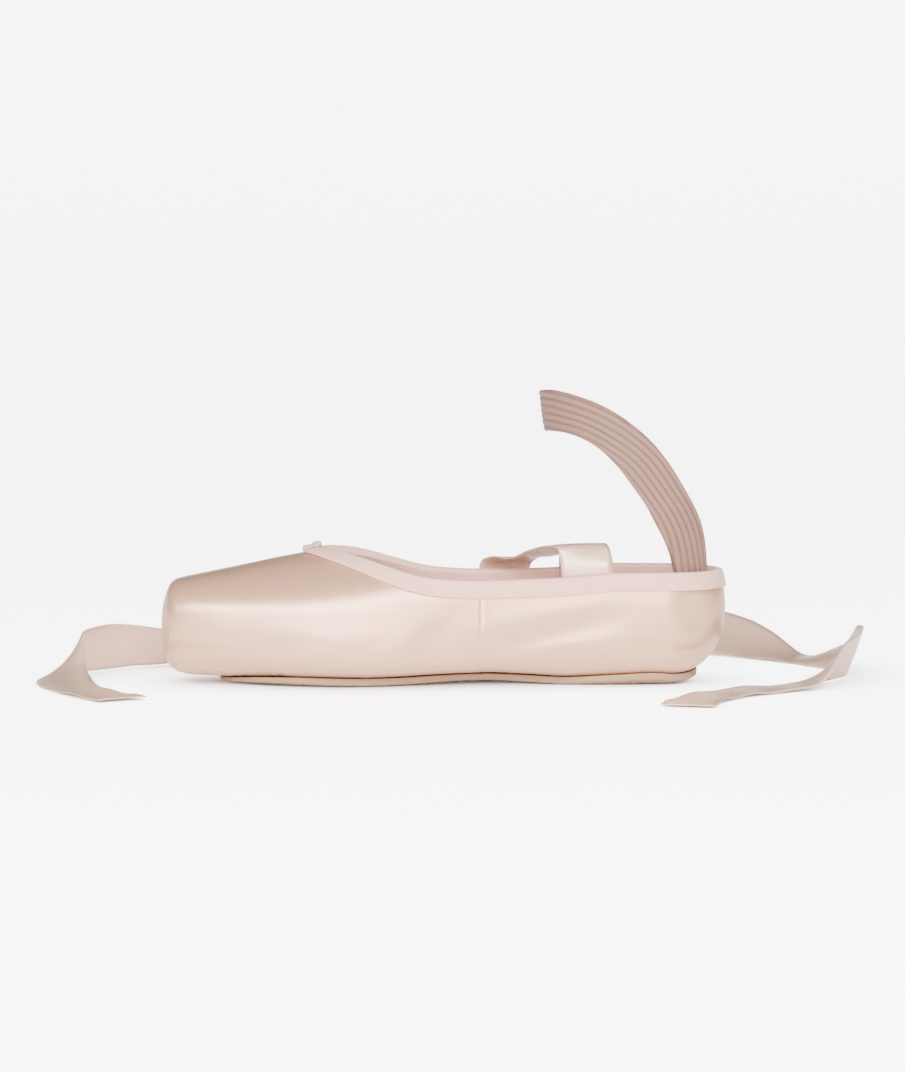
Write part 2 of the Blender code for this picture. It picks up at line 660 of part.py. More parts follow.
def ankle_point(turn, height, off):
    """A point on the form that shaped the elastic, at a distance off its skin."""
    middle, depth, width = smooth(height, [row[0] for row in ANKLE], ankle_sizes())
    turn = math.radians(turn)
    back, side = (depth + off) * math.cos(turn), (width + off) * math.sin(turn)
    return np.array([middle - back, side, STRAP_HEIGHT * height])


def make_strap(material, collection):
    """Ribbed elastic, sewn inside the quarters near the heel, arched over the ankle."""
    places = np.arange(len(STRAP))
    rows = []
    for at in np.linspace(0, len(STRAP) - 1, 17):
        rear_turn, rear_height, front_turn, front_height = smooth(at, places, STRAP)
        outer, inner = [], []
        for share in np.linspace(0, 1, 4):
            turn = rear_turn + (front_turn - rear_turn) * share
            height = rear_height + (front_height - rear_height) * share
            outer.append(ankle_point(turn, height, STRAP_THICKNESS))
            inner.append(ankle_point(turn, height, 0.0))
        rows.append(np.array(outer + inner[::-1]))
    rows[-1][:, 1] = 0.0
    mesh = bmesh.new()
    skin(mesh, rows, ringed=True)
    bmesh.ops.contextual_create(mesh, geom=[e for e in mesh.edges if e.is_boundary and
                                            all(v.co.y > 1e-5 for v in e.verts)])
    bmesh.ops.recalc_face_normals(mesh, faces=mesh.faces)
    strap = add_object("elastic_strap", mesh, material, collection)
    mirror_sides(strap)


def turns(ways):
    """The angle between each direction in a list and the next."""
    ways = ways / np.linalg.norm(ways, axis=1)[:, None]
    return np.arccos(np.clip((ways[:-1] * ways[1:]).sum(axis=1), -1, 1))


def ribbon_rows(route):
    """Rows across a ribbon along its route, closest where it bends or twists most."""
    route = np.array(route)
    steps = np.linalg.norm(np.diff(route[:, :3], axis=0), axis=1)
    places = np.concatenate([[0], np.cumsum(steps)])
    slopes = np.gradient(route, places, axis=0)
    fine = []
    for at in np.linspace(0, places[-1], 8 * RIBBON_STATIONS):
        k = min(int(np.searchsorted(places, at, side="right")) - 1, len(places) - 2)
        step = places[k + 1] - places[k]
        t = (at - places[k]) / step
        start = (1 + 2 * t) * (1 - t) ** 2 * route[k] + t * (1 - t) ** 2 * step * slopes[k]
        end = t * t * (3 - 2 * t) * route[k + 1] + t * t * (t - 1) * step * slopes[k + 1]
        fine.append(start + end)
    fine = np.array(fine)
    ways = np.gradient(fine[:, :3], axis=0)
    steps = np.linalg.norm(np.diff(fine[:, :3], axis=0), axis=1)
    weight = steps + CORNER_PULL * (turns(ways) + turns(fine[:, 3:]))
    total = np.concatenate([[0], np.cumsum(weight)])
    shares = np.linspace(0, total[-1], RIBBON_STATIONS)
    rows = []
    for share in shares:
        point, across, way = (
            np.array([np.interp(share, total, column) for column in part.T])
            for part in (fine[:, :3], fine[:, 3:], ways)
        )
        way = way / np.linalg.norm(way)
        across = across - way * np.dot(across, way)
        across = across / np.linalg.norm(across) * RIBBON_WIDTH / 2
        lowest = point[2] - abs(across[2]) - RIBBON_THICKNESS / 2
        point = point + np.array([LENGTH / 2, 0.0, max(GAP - lowest, 0.0)])
        rows.append(np.array([point + across * side for side in (-1, 0, 1)]))
    return rows


def make_ribbon(name, route, material, collection):
    """Satin ribbon, sewn inside the quarter, with its free end laid on the floor."""
    mesh = bmesh.new()
    skin(mesh, ribbon_rows(route))
    bmesh.ops.triangulate(mesh, faces=mesh.faces)
    ribbon = add_object(name, mesh, material, collection)
    wall = ribbon.modifiers.new("cloth", "SOLIDIFY")
    wall.thickness = RIBBON_THICKNESS
    wall.offset = 0


def finish(name, colour, roughness, sheen=0.0):
    material = bpy.data.materials.new(name)
    material.use_nodes = True
    shader = material.node_tree.nodes["Principled BSDF"]
    shader.inputs["Base Color"].default_value = (*colour, 1)
    shader.inputs["Roughness"].default_value = roughness
    shader.inputs["Metallic"].default_value = 0.0
    shader.inputs["Sheen Weight"].default_value = sheen
    return material


def new_collection(name):
    collection = bpy.data.collections.new(name)
    bpy.context.scene.collection.children.link(collection)
    return collection


for old in list(bpy.data.objects):
    bpy.data.objects.remove(old)
shoe = new_collection("pointe_shoe")
tools = new_collection("tools")
tools.hide_render = True

satin = finish("peach_satin", (0.82, 0.68, 0.60), 0.32, 0.2)
make_upper(satin, shoe)
make_outsole(finish("sole_leather", (0.42, 0.30, 0.22), 0.6), shoe)
make_insole(finish("sock_lining", (0.62, 0.52, 0.45), 0.8), shoe)
make_binding(finish("binding_tape", (0.80, 0.62, 0.55), 0.55, 0.2), shoe)
make_drawstring(finish("drawstring_cord", (0.80, 0.68, 0.62), 0.7), shoe)
make_strap(finish("ribbed_elastic", (0.62, 0.45, 0.37), 0.75), shoe)
ribbon_satin = finish("ribbon_satin", (0.84, 0.68, 0.60), 0.3, 0.2)
make_ribbon("ribbon_left", RIBBON_LEFT, ribbon_satin, shoe)
make_ribbon("ribbon_right", RIBBON_RIGHT, ribbon_satin, shoe)
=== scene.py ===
"""Looks of the pointe shoe: satin, binding, elastic, ribbons and leather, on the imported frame.

Metres, toe towards +X, +Z up, origin on the floor under the middle of the shoe.
"""

import math
from functools import lru_cache

import bmesh
import bpy
import numpy as np
from mathutils import Matrix, Vector


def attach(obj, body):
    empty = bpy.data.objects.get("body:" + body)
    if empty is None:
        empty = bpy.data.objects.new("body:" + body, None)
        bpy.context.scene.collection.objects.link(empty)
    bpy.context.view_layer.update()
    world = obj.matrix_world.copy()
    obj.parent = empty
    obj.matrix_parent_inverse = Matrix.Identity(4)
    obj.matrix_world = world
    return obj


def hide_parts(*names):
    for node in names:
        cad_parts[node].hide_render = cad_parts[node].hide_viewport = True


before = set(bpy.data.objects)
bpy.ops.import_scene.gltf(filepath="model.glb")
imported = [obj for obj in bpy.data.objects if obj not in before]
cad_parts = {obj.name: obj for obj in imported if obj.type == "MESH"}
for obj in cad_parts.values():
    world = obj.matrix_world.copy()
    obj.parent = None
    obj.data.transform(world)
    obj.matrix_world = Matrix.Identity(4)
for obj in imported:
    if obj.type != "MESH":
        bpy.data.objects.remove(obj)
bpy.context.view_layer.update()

# Studio: one camera view from the shoe's left, nearly level with it. A white sheet, glowing
# softly, sweeps up behind; its glow is dimmed close to the shoe, a painted contact shadow.
# The front is bright and what is above stays dim, so that the vamp's top turns dark over a
# bright band. A weak light over the heel reaches the inside.
CAMERA_TARGET = Vector((-0.004, 0.0, 0.062))
CAMERA_ELEVATION = math.radians(4.5)
CAMERA_DISTANCE = 1.9
CAMERA_LENS = 150
SHEET_WIDTH, SHEET_FRONT, SHEET_BACK = 7.0, 3.0, -3.0
SHEET_CORNER, SHEET_TOP = 0.4, 0.46
FLOOR_COLOUR, FLOOR_GLOW, FLOOR_SEEN_GLOW = (0.92, 0.918, 0.915), 1.2, 6.5
# Reach and samples of the ambient occlusion that dims the sheet's glow: a painted contact shadow.
CONTACT_SHADOW_REACH = 0.03
SHEET_FOLDS, CONTACT_SHADOW_SAMPLES = 12, 8
DIM_COLOUR, BRIGHT_COLOUR = (0.068, 0.050, 0.036), (1.0, 0.98, 0.96)
DIM_DIRECTION = (0.0, -0.55, 0.83)
# Where the bright side's light starts to fade and where it has, from 0 in front to 1 behind.
BRIGHT_UNTIL, DIM_FROM = 0.32, 0.62
# name, place, aimed at, width, height, watts, colour
LIGHTS = (
    ("low_softbox", (0.30, 1.95, 0.42), (0.0, 0.0, 0.03), 1.6, 0.7, 46, (1.0, 0.98, 0.97)),
    ("high_softbox", (0.10, 1.15, 0.78), (0.0, 0.0, 0.04), 1.8, 0.42, 42, (1.0, 0.99, 0.98)),
    ("inner_softbox", (-0.95, 0.25, 1.20), (-0.04, 0.0, 0.03), 0.9, 0.9, 13, (1.0, 0.98, 0.96)),
)


def in_scene(name, data):
    """A new object of this data, in the scene."""
    thing = bpy.data.objects.new(name, data)
    bpy.context.scene.collection.objects.link(thing)
    return thing


def smooth_data(name, mesh, materials):
    """The bmesh as smooth shaded data with its materials."""
    data = bpy.data.meshes.new(name)
    mesh.to_mesh(data)
    mesh.free()
    for material in materials:
        data.materials.append(material)
    data.shade_smooth()
    return data


def new_material(name, values):
    """A material with these plain values on its shader, then its node tree and its shader."""
    material = bpy.data.materials.new(name)
    material.use_nodes = True
    shader = material.node_tree.nodes["Principled BSDF"]
    for label, value in values.items():
        shader.inputs[label].default_value = value
    return material, material.node_tree, shader


def add_node(tree, kind, inputs=(), **settings):
    """A node with its settings, its plain input values and its links, by input name or number."""
    node = tree.nodes.new("ShaderNode" + kind)
    for name, value in settings.items():
        setattr(node, name, value)
    for name, value in dict(inputs).items():
        socket = node.inputs[name]
        if isinstance(value, bpy.types.NodeSocket):
            tree.links.new(value, socket)
        elif isinstance(value, tuple) and len(value) == 3 and socket.type == "RGBA":
            socket.default_value = (*value, 1)
        else:
            socket.default_value = value
    return node


def calc(tree, operation, *values, clamp=False):
    """What a Math node makes of sockets or numbers."""
    inputs = dict(enumerate(values))
    return add_node(tree, "Math", inputs, operation=operation, use_clamp=clamp).outputs[0]


def mapped(tree, value, *limits, kind="LINEAR"):
    """What a Map Range node makes of a value: from these two limits to the next two."""
    inputs = dict(enumerate((value, *limits)))
    return add_node(tree, "MapRange", inputs, interpolation_type=kind).outputs[0]


def blend(tree, share, low, high):
    """The colour that lies a share of the way between two others."""
    return add_node(tree, "Mix", {0: share, 6: low, 7: high}, data_type="RGBA").outputs[2]


def studio_camera():
    camera = in_scene("camera", bpy.data.cameras.new("camera"))
    camera.data.lens = CAMERA_LENS
    out = Vector((0.0, math.cos(CAMERA_ELEVATION), math.sin(CAMERA_ELEVATION)))
    camera.location = CAMERA_TARGET + out * CAMERA_DISTANCE
    camera.rotation_mode = "QUATERNION"
    camera.rotation_quaternion = (-out).to_track_quat("-Z", "Y")
    bpy.context.scene.camera = camera


def studio_floor():
    mesh = bmesh.new()
    profile = [(SHEET_FRONT, 0.0), (SHEET_BACK + SHEET_CORNER, 0.0)]
    for turn in np.linspace(0, math.pi / 2, SHEET_FOLDS + 1)[1:]:
        ahead, up = 1 - math.sin(turn), 1 - math.cos(turn)
        profile.append((SHEET_BACK + SHEET_CORNER * ahead, SHEET_CORNER * up))
    profile.append((SHEET_BACK, SHEET_TOP))
    verts = [mesh.verts.new((-SHEET_WIDTH / 2, y, z)) for y, z in profile]
    edges = [mesh.edges.new(pair) for pair in zip(verts, verts[1:])]
    made = bmesh.ops.extrude_edge_only(mesh, edges=edges)
    far = [item for item in made["geom"] if isinstance(item, bmesh.types.BMVert)]
    bmesh.ops.translate(mesh, vec=(SHEET_WIDTH, 0, 0), verts=far)
    paper, tree, shader = new_material("studio_paper", {
        "Base Color": (*FLOOR_COLOUR, 1), "Roughness": 0.55, "Specular IOR Level": 0.25,
        "Emission Color": (*FLOOR_COLOUR, 1),
    })
    ray = add_node(tree, "LightPath").outputs["Is Camera Ray"]
    glow = mapped(tree, ray, 0.0, 1.0, FLOOR_GLOW, FLOOR_SEEN_GLOW)
    # Painted contact shadow: the glow is multiplied by ambient occlusion, darker where the shoe is close.
    painted_contact_shadow = add_node(
        tree, "AmbientOcclusion", {"Distance": CONTACT_SHADOW_REACH}, samples=CONTACT_SHADOW_SAMPLES
    )
    shaded = calc(tree, "MULTIPLY", glow, painted_contact_shadow.outputs["AO"])
    tree.links.new(shaded, shader.inputs["Emission Strength"])
    floor = in_scene("studio_floor", smooth_data("studio_floor", mesh, [paper]))


def studio_lights():
    for name, place, target, width, height, watts, colour in LIGHTS:
        lamp = in_scene(name, bpy.data.lights.new(name, "AREA"))
        lamp.data.shape = "RECTANGLE"
        lamp.data.size, lamp.data.size_y = width, height
        lamp.data.energy, lamp.data.color = watts, colour
        lamp.location = place
        way = Vector(target) - Vector(place)
        lamp.rotation_euler = way.to_track_quat("-Z", "Y").to_euler()


def studio_air():
    """Bright in front and along the horizon, dim overhead and behind."""
    world = bpy.data.worlds.new("studio_air")
    bpy.context.scene.world = world
    world.use_nodes = True
    tree = world.node_tree
    where = add_node(tree, "TexCoord").outputs["Generated"]
    toward = add_node(tree, "VectorMath", {0: where, 1: DIM_DIRECTION}, operation="DOT_PRODUCT")
    ramp = add_node(tree, "ValToRGB", {0: mapped(tree, toward.outputs["Value"], -1.0, 1.0)})
    stops = ramp.color_ramp.elements
    stops[0].position, stops[0].color = BRIGHT_UNTIL, (*BRIGHT_COLOUR, 1)
    stops[1].position, stops[1].color = DIM_FROM, (*DIM_COLOUR, 1)
    ray = add_node(tree, "LightPath").outputs["Is Camera Ray"]
    white = tuple(channel * FLOOR_SEEN_GLOW for channel in FLOOR_COLOUR)
    air = blend(tree, ray, ramp.outputs["Color"], white)
    tree.links.new(air, tree.nodes["Background"].inputs["Color"])


studio_camera()
studio_floor()
studio_lights()
studio_air()

# Ribbons: two lengths of 22 mm double-faced satin ribbon, sewn flat inside the quarters.
# They lie loose and untied: over the far side of the collar, down to the floor behind,
# round the toe and the heel, flat or on edge where they turn.
RIBBON_WIDTH, RIBBON_THICKNESS, FLOOR_GAP = 0.022, 0.0006, 0.0003
RIBBON_LENGTHS = {"ribbon_left": 0.478, "ribbon_right": 0.442}
RIBBON_STATIONS, RIBBON_ACROSS = 420, 9
# x, y and z of the ribbon's middle, then the way that its width points
RIBBON_ROUTES = {
    "ribbon_left": (
        (-0.0610, 0.0230, 0.0330, 1.0, 0.06, 0.0),
        (-0.0610, 0.0228, 0.0430, 1.0, 0.06, 0.0),
        (-0.0605, 0.0222, 0.0520, 1.0, 0.07, 0.0),
        (-0.0590, 0.0185, 0.0580, 1.0, 0.12, 0.0),
        (-0.0545, 0.0110, 0.0590, 1.0, 0.30, 0.0),
        (-0.0460, -0.0030, 0.0555, 1.0, 0.45, 0.0),
        (-0.0370, -0.0170, 0.0515, 1.0, 0.45, 0.0),
        (-0.0305, -0.0275, 0.0505, 1.0, 0.30, 0.0),
        (-0.0270, -0.0345, 0.0470, 1.0, 0.10, 0.0),
        (-0.0260, -0.0362, 0.0350, 1.0, 0.04, 0.0),
        (-0.0255, -0.0372, 0.0200, 1.0, 0.0, 0.0),
        (-0.0245, -0.0400, 0.0070, 1.0, 0.05, 0.0),
        (-0.0225, -0.0480, 0.0012, 1.0, 0.2, 0.0),
        (-0.0170, -0.0640, 0.0016, 0.93, 0.35, 0.05),
        (-0.0040, -0.0830, 0.0085, 0.45, 0.55, 0.70),
        (0.0220, -0.0940, 0.0104, 0.10, 0.33, 0.94),
        (0.0500, -0.0900, 0.0085, -0.2, 0.65, 0.73),
        (0.0760, -0.0770, 0.0016, -0.42, 0.90, 0.06),
        (0.1000, -0.0650, 0.0024, -0.40, 0.88, 0.15),
        (0.1230, -0.0540, 0.0085, -0.30, 0.62, 0.72),
        (0.1450, -0.0380, 0.0104, -0.35, 0.20, 0.92),
        (0.1590, -0.0150, 0.0095, -0.50, 0.00, 0.86),
        (0.1620, 0.0100, 0.0030, -0.93, -0.10, 0.30),
        (0.1540, 0.0350, 0.0012, -0.95, -0.30, 0.0),
        (0.1430, 0.0570, 0.0012, -0.90, -0.42, 0.0),
        (0.1310, 0.0760, 0.0012, -0.82, -0.55, 0.0),
    ),
    "ribbon_right": (
        (-0.0610, -0.0230, 0.0330, 1.0, -0.06, 0.0),
        (-0.0610, -0.0227, 0.0430, 1.0, -0.06, 0.0),
        (-0.0610, -0.0232, 0.0505, 1.0, -0.06, 0.0),
        (-0.0610, -0.0270, 0.0532, 1.0, -0.04, 0.0),
        (-0.0610, -0.0308, 0.0490, 1.0, -0.04, 0.0),
        (-0.0612, -0.0322, 0.0390, 1.0, -0.04, 0.0),
        (-0.0618, -0.0328, 0.0250, 1.0, 0.0, 0.0),
        (-0.0628, -0.0345, 0.0110, 1.0, 0.0, 0.0),
        (-0.0640, -0.0410, 0.0022, 1.0, -0.1, 0.0),
        (-0.0660, -0.0590, 0.0012, 0.98, -0.15, 0.0),
        (-0.0710, -0.0800, 0.0045, 0.80, -0.30, 0.38),
        (-0.0850, -0.1000, 0.0100, 0.30, -0.30, 0.90),
        (-0.1090, -0.1090, 0.0102, 0.00, -0.35, 0.93),
        (-0.1330, -0.1020, 0.0080, -0.35, -0.60, 0.70),
        (-0.1530, -0.0850, 0.0014, -0.66, -0.74, 0.05),
        (-0.1680, -0.0630, 0.0040, -0.75, -0.45, 0.35),
        (-0.1760, -0.0380, 0.0095, -0.45, -0.15, 0.88),
        (-0.1760, -0.0120, 0.0100, -0.35, 0.10, 0.92),
        (-0.1660, 0.0110, 0.0080, -0.45, 0.40, 0.75),
        (-0.1500, 0.0280, 0.0016, -0.68, 0.72, 0.10),
        (-0.1320, 0.0420, 0.0012, -0.62, 0.78, 0.0),
        (-0.1160, 0.0580, 0.0012, -0.74, 0.66, 0.0),
        (-0.1050, 0.0770, 0.0012, -0.85, 0.52, 0.0),
        (-0.0990, 0.0980, 0.0012, -0.93, 0.36, 0.0),
    ),
}
RIBBON_CAMBER, RIBBON_RIPPLE = 0.0005, 0.00025
# Waves to a metre, in radians, of the slow curl and of the ripple. The ripple leans by a
# slant from edge to edge, and is least in the middle. The cloth is thinner than the solid.
CURL_WAVES, RIPPLE_WAVES, RIPPLE_SLANT, RIPPLE_LEAST = 31, 210, 1.4, 0.4
CLOTH_SHARE = 0.75
RIBBON_COLOUR, RIBBON_SHADE = (0.78, 0.53, 0.40), (0.72, 0.46, 0.33)
RIBBON_SOIL = (0.5, 0.4, 0.34)
SATIN_RELIEF = 0.00012


def node_group(name, inputs, outputs):
    """An empty shader node group with these number inputs, as (name, value), and outputs."""
    group = bpy.data.node_groups.new(name, "ShaderNodeTree")
    kind = "NodeSocketFloat"
    for label, value in inputs:
        socket = group.interface.new_socket(name=label, in_out="INPUT", socket_type=kind)
        socket.default_value = value
    for label in outputs:
        group.interface.new_socket(name=label, in_out="OUTPUT", socket_type=kind)
    return group, group.nodes.new("NodeGroupInput"), group.nodes.new("NodeGroupOutput")


def axes_of(tree, kind):
    """The X, Y and Z of one kind of texture coordinate."""
    where = add_node(tree, "TexCoord").outputs[kind]
    return add_node(tree, "SeparateXYZ", {0: where}).outputs


def noise(tree, where, scale, detail, roughness=0.5):
    """What a Noise Texture node gives at a place."""
    inputs = {"Vector": where, "Scale": scale, "Detail": detail, "Roughness": roughness}
    return add_node(tree, "TexNoise", inputs).outputs["Fac"]


def satin_thread_group():
    """Satin's face: long floats along the warp, slubs, and a slow drift of tone."""
    group, into, out = node_group(
        "satin_thread",
        (("Threads", 2600.0), ("Float Length", 0.006), ("Slub", 0.5)),
        ("Height", "Tone"),
    )
    apart = axes_of(group, "UV")
    across = calc(group, "MULTIPLY", apart["X"], into.outputs["Threads"])
    along = calc(group, "DIVIDE", apart["Y"], into.outputs["Float Length"])
    cell = add_node(group, "CombineXYZ", {0: across, 1: along})
    floats = noise(group, cell.outputs[0], 1.0, 1.0)
    wide, long = calc(group, "MULTIPLY", across, 0.05), calc(group, "MULTIPLY", along, 0.12)
    drift = add_node(group, "CombineXYZ", {0: wide, 1: long, 2: 3.0})
    tone = noise(group, drift.outputs[0], 1.0, 2.0)
    slubs = calc(group, "MULTIPLY", tone, into.outputs["Slub"])
    group.links.new(calc(group, "ADD", floats, slubs), out.inputs["Height"])
    group.links.new(tone, out.inputs["Tone"])
    return group


def soiling_group():
    """Where handling and floor dust have dulled a surface: more of it near the floor."""
    group, into, out = node_group(
        "soiling",
        (("Low", 0.0), ("High", 0.02), ("Patch Size", 0.02), ("Strength", 0.5)),
        ("Mask",),
    )
    height = axes_of(group, "Object")["Z"]
    low = mapped(group, height, into.outputs["High"], into.outputs["Low"], kind="SMOOTHSTEP")
    where = add_node(group, "TexCoord").outputs["Object"]
    scale = calc(group, "DIVIDE", 1.0, into.outputs["Patch Size"])
    patches = noise(group, where, scale, 5.0, 0.62)
    both = calc(group, "MULTIPLY", low, mapped(group, patches, 0.42, 0.68, kind="SMOOTHSTEP"))
    mask = calc(group, "MULTIPLY", both, into.outputs["Strength"], clamp=True)
    group.links.new(mask, out.inputs["Mask"])
    return group


SATIN_THREAD = satin_thread_group()
SOILING = soiling_group()


def place_group(tree, group, **values):
    """The outputs of a group that is placed in a material with its own values."""
    node = tree.nodes.new("ShaderNodeGroup")
    node.node_tree = group
    for name, value in values.items():
        node.inputs[name.replace("_", " ")].default_value = value
    return node.outputs


def surface(tree, shader, colour, height, strength, distance):
    """Gives the shader its colour and its relief."""
    inputs = {"Height": height, "Strength": strength, "Distance": distance}
    relief = add_node(tree, "Bump", inputs)
    tree.links.new(colour, shader.inputs["Base Color"])
    tree.links.new(relief.outputs[0], shader.inputs["Normal"])


def satin(name, colour, shade, soil, strength, roughness, threads, bump, metal):
    """A satin finish: glossy floats along the warp, its shade in the hollows, dust low down."""
    material, tree, shader = new_material(name, {
        "Metallic": metal, "Specular IOR Level": 0.8, "Anisotropic": 0.45,
        "Sheen Weight": 0.05, "Sheen Roughness": 0.4, "Sheen Tint": (1.0, 0.9, 0.85, 1),
        "Coat Weight": 0.3, "Coat Roughness": 0.2,
    })
    weave = place_group(tree, SATIN_THREAD, Threads=threads)
    dirt = place_group(tree, SOILING, High=0.012, Strength=strength)
    soiled = blend(tree, dirt["Mask"], blend(tree, weave["Tone"], shade, colour), soil)
    surface(tree, shader, soiled, weave["Height"], bump, SATIN_RELIEF)
    rough = mapped(tree, weave["Height"], 0.2, 1.2, roughness - 0.03, roughness + 0.05)
    tree.links.new(rough, shader.inputs["Roughness"])
    return material


def cloth_grid(rows):
    """A bmesh grid laid through rows of points, its UV map measured in metres."""
    count, across = len(rows), len(rows[0])
    mesh = bmesh.new()
    bmesh.ops.create_grid(mesh, x_segments=across - 1, y_segments=count - 1, size=0.5, calc_uvs=True)
    layer = mesh.loops.layers.uv.verify()
    points = np.array(rows)
    wide = np.zeros((count, across))
    wide[:, 1:] = np.cumsum(np.linalg.norm(np.diff(points, axis=1), axis=2), axis=1)
    long = np.zeros((count, across))
    long[1:] = np.cumsum(np.linalg.norm(np.diff(points, axis=0), axis=2), axis=0)
    long[:] = long.mean(axis=1)[:, None]
    place = {}
    for vert in mesh.verts:
        i = round((vert.co.y + 0.5) * (count - 1))
        j = round((vert.co.x + 0.5) * (across - 1))
        place[vert] = (i, j)
    for vert, (i, j) in place.items():
        vert.co = points[i, j]
    for face in mesh.faces:
        for loop in face.loops:
            i, j = place[loop.vert]
            loop[layer].uv = (wide[i, j], long[i, j])
    return mesh


def new_piece(name, mesh, materials, replaced=()):
    """The finished piece as an object at the origin, riding with the shoe."""
    piece = in_scene(name, smooth_data(name, mesh, materials))
    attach(piece, "root")
    if replaced:
        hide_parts(*replaced)
    return piece


def run_of(points):
    """How far along a line of points each of them lies."""
    return np.concatenate([[0], np.cumsum(np.linalg.norm(np.diff(points, axis=0), axis=1))])


def spot_on(points, runs, at):
    """The point that lies this far along a line of points."""
    return np.array([np.interp(at, runs, column) for column in points.T])


def unit(vectors):
    """One vector, or rows of them, brought to a length of 1."""
    return vectors / np.maximum(np.linalg.norm(vectors, axis=-1, keepdims=True), 1e-12)


def eased(places, rows, slopes, k, at):
    """The value between row k and the next, on a curve with these slopes at the rows."""
    step = places[k + 1] - places[k]
    t = (at - places[k]) / step
    start = (1 + 2 * t) * (1 - t) ** 2 * rows[k] + t * (1 - t) ** 2 * step * slopes[k]
    end = t * t * (3 - 2 * t) * rows[k + 1] + t * t * (t - 1) * step * slopes[k + 1]
    return start + end


def ribbon_line(route):
    """Middle points, directions and width directions, evenly spaced along the route."""
    route = np.array(route)
    places = run_of(route[:, :3])
    slopes = np.gradient(route, places, axis=0)
    fine = []
    for at in np.linspace(0, places[-1], 3 * RIBBON_STATIONS):
        k = min(int(np.searchsorted(places, at, side="right")) - 1, len(places) - 2)
        fine.append(eased(places, route, slopes, k, at))
    fine = np.array(fine)
    runs = run_of(fine[:, :3])
    even = np.array([spot_on(fine, runs, at) for at in np.linspace(0, runs[-1], RIBBON_STATIONS)])
    middles = even[:, :3]
    ways = unit(np.gradient(middles, axis=0))
    across = unit(even[:, 3:] - ways * (even[:, 3:] * ways).sum(axis=1)[:, None])
    lowest = middles[:, 2] - abs(across[:, 2]) * RIBBON_WIDTH / 2 - RIBBON_THICKNESS / 2
    middles[:, 2] += np.maximum(FLOOR_GAP - lowest, 0.0)
    return middles, ways, across


def make_ribbon(name, node, material, phase):
    middles, ways, across = ribbon_line(RIBBON_ROUTES[node])
    faces = np.cross(ways, across)
    rows = []
    for k, (middle, side, face) in enumerate(zip(middles, across, faces)):
        run = k / RIBBON_STATIONS * RIBBON_LENGTHS[node]
        row = []
        for share in np.linspace(-1, 1, RIBBON_ACROSS):
            curl = RIBBON_CAMBER * (1 - share**2) * math.sin(run * CURL_WAVES + phase)
            ripple = RIBBON_RIPPLE * math.sin(run * RIPPLE_WAVES + phase * 3 + share * RIPPLE_SLANT)
            off = curl + ripple * (RIPPLE_LEAST + share**2)
            point = middle + side * share * RIBBON_WIDTH / 2 + face * off
            point[2] = max(point[2], FLOOR_GAP + RIBBON_THICKNESS / 2)
            row.append(point)
        rows.append(row)
    mesh = cloth_grid(rows)
    bmesh.ops.recalc_face_normals(mesh, faces=mesh.faces)
    ribbon = new_piece(name, mesh, [material], [node])
    wall = ribbon.modifiers.new("cloth", "SOLIDIFY")
    wall.thickness = RIBBON_THICKNESS * CLOTH_SHARE
    wall.offset = 0


ribbon_satin = satin(
    "ribbon_satin", RIBBON_COLOUR, RIBBON_SHADE, RIBBON_SOIL,
    strength=0.10, roughness=0.29, threads=3400.0, bump=0.12, metal=0.25,
)
make_ribbon("left_satin_ribbon", "ribbon_left", ribbon_satin, 0.6)
make_ribbon("right_satin_ribbon", "ribbon_right", ribbon_satin, 2.1)

# Upper: satin over canvas, cut as vamp and quarters, closed with a side and a back seam,
# then pulled over the last and turned in underneath. Paste hardens the toe into a box
# with a flat platform, and the surplus satin is pleated in round the tip of the outsole.
LENGTH = 0.240
HEEL_WIDTH, BALL_WIDTH, PLATFORM_WIDTH, HEEL_REACH = 0.0536, 0.079, 0.042, 0.027
INSTEP_HEIGHT, HEEL_CROWN, COLLAR_HEIGHT, PLATFORM_TOP = 0.056, 0.078, 0.0474, 0.0429
ARCH_LIFT, TOE_LIFT, PLATFORM_CROWN = 0.002, 0.0037, 0.004
VAMP_LENGTH, THROAT_LENGTH, THROAT_WIDTH = 0.067, 0.052, 0.066
QUARTER_WALL, BOX_WALL = 0.0016, 0.003
SOLE_THICKNESS, SOLE_TIP_THICKNESS, SEAT_GAP, LASTING_MARGIN = 0.0024, 0.0012, 0.0005, 0.007
SOLE_HEEL_WIDTH, SOLE_WAIST_WIDTH, SOLE_BALL_WIDTH = 0.039, 0.027, 0.056
SOLE_HEEL_INSET, SOLE_TOE_INSET = 0.012, 0.025
THROAT, PLATFORM_EDGE = LENGTH - VAMP_LENGTH, LENGTH - PLATFORM_CROWN
SOLE_TIP = LENGTH - SOLE_TOE_INSET
SEAM_CLOSED = SOLE_TIP - LASTING_MARGIN
WIDTHS = {"heel": HEEL_WIDTH, "ball": BALL_WIDTH, "toe": PLATFORM_WIDTH}
CROWNS = {"heel": HEEL_CROWN, "instep": INSTEP_HEIGHT, "toe": PLATFORM_TOP}
LIFTS = {"arch": ARCH_LIFT, "toe": TOE_LIFT}
